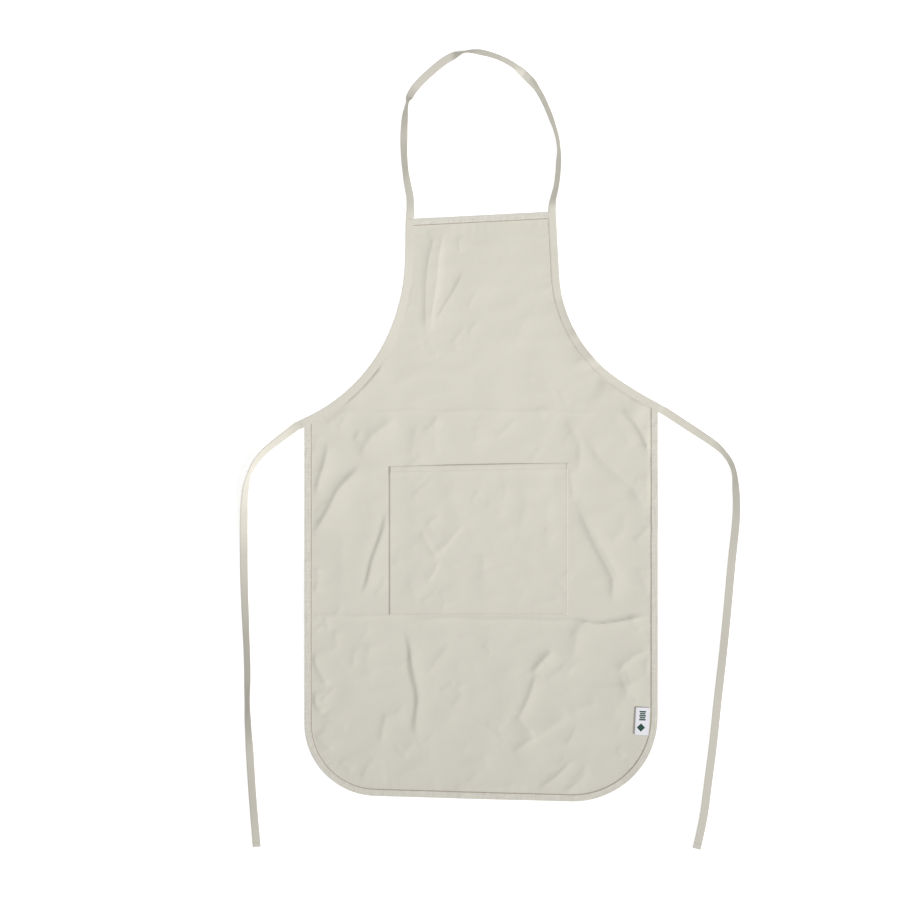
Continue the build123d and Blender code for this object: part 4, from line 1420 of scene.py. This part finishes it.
class APRON_OT_label(bpy.types.Operator):
    """Make the folded side label and its print"""

    bl_idname = "apron.label"
    bl_label = "Side label"
    bl_options = {"REGISTER", "UNDO"}

    def execute(self, context):
        label = context.scene.apron_label
        root, out, along, reach, length = label_frame()
        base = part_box("side_label")[0].z + 0.15 * MM
        leaf = 0.34 * MM  # half the gap between the middles of its two leaves
        turn = math.pi * leaf
        whole = 2 * reach + turn

        def curve(share_out):
            # it leaves its seam flat and bows up towards the fold
            return label.lift * gate(share_out, 0.05, 1.1) + 0.25 * MM * np.sin(math.pi * share_out)

        def spot(offset, level, up):
            shift = (up - 0.5) * length + label.shift
            x = root[0] + out[0] * offset + along[0] * shift
            y = root[1] + out[1] * offset + along[1] * shift
            share_out = np.clip(offset / reach, 0, 1)
            lean = 0.35 * MM * share_out * np.sin(2.4 * (up - 0.3))
            return x, y, base + level + curve(share_out) + lean + lie(x, y)

        def place(across, up):
            run = across * whole
            angle = np.clip((run - reach) / turn, 0, 1) * math.pi
            past = np.clip(run - reach - turn, 0, None)
            offset = np.where(run < reach, run, reach + leaf * np.sin(angle) - past)
            x, y, z = spot(offset, leaf * (1 - np.cos(angle)), up)
            return x, y, z, run, up * length

        ribbon = piece_from(lay(grid_shape(72, 60), place), "label_ribbon_loop", 60)
        thickened(ribbon, label.thickness)
        finished(ribbon, "label_ribbon", "label_ribbon", "side_label")
        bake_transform(ribbon)

        # a diamond and its bars, pressed onto the upper leaf
        shape = bmesh.new()
        for across, rise, height, breadth, turned in LABEL_MARKS:
            made = bmesh.ops.create_grid(shape, x_segments=12, y_segments=4, size=0.5)["verts"]
            bmesh.ops.scale(shape, verts=made, vec=(breadth * MM, height * MM, 1))
            bmesh.ops.rotate(shape, verts=made, matrix=Matrix.Rotation(math.radians(turned), 3, "Z"))
            bmesh.ops.translate(shape, verts=made, vec=(across * MM, rise * MM, 0))
        offset = reach / 2 + np.array([v.co.x for v in shape.verts])
        up = np.array([v.co.y for v in shape.verts]) / length + 0.5
        x, y, z = spot(offset, 2 * leaf + label.thickness / 2 + 0.03 * MM, up)
        for index, vert in enumerate(shape.verts):
            vert.co = (x[index], y[index], z[index])
        map_flat(shape)
        for face in shape.faces:
            if face.normal.z < 0:
                face.normal_flip()
        mark = piece_from(shape, "label_marks")
        thickened(mark, 0.05 * MM)
        finished(mark, "label_ink", "label_ink", "label_print")
        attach(mark, "side_label")
        return {"FINISHED"}


# ---- the add-on -----------------------------------------------------------------------------------
PIECES = (
    APRON_OT_stage,
    APRON_OT_neck_loop,
    APRON_OT_ties,
    APRON_OT_panel,
    APRON_OT_bindings,
    APRON_OT_armhole_tapes,
    APRON_OT_pocket,
    APRON_OT_label,
)


class APRON_PT_sidebar(bpy.types.Panel):
    """Lists the apron's settings and its pieces"""

    bl_idname = "APRON_PT_sidebar"
    bl_label = "Bib Apron"
    bl_space_type = "VIEW_3D"
    bl_region_type = "UI"
    bl_category = "Apron"

    def draw(self, context):
        for name, group in SETTINGS.items():
            box = self.layout.box()
            box.label(text=name.replace("apron_", "").capitalize())
            for field in group.__annotations__:
                box.prop(getattr(context.scene, name), field)
        for piece in PIECES:
            self.layout.operator(piece.bl_idname)


def register():
    """Makes the settings, the pieces and the sidebar known to Blender."""
    for name, group in SETTINGS.items():
        bpy.utils.register_class(group)
        setattr(bpy.types.Scene, name, bpy.props.PointerProperty(type=group))
    for piece in PIECES:
        bpy.utils.register_class(piece)
    bpy.utils.register_class(APRON_PT_sidebar)


def unregister():
    """Takes them out again."""
    bpy.utils.unregister_class(APRON_PT_sidebar)
    for piece in reversed(PIECES):
        bpy.utils.unregister_class(piece)
    for name, group in SETTINGS.items():
        delattr(bpy.types.Scene, name)
        bpy.utils.unregister_class(group)


def main():
    """Makes the whole apron."""
    register()
    for piece in PIECES:
        getattr(bpy.ops.apron, piece.bl_idname.split(".")[1])()


if __name__ == "__main__":
    main()
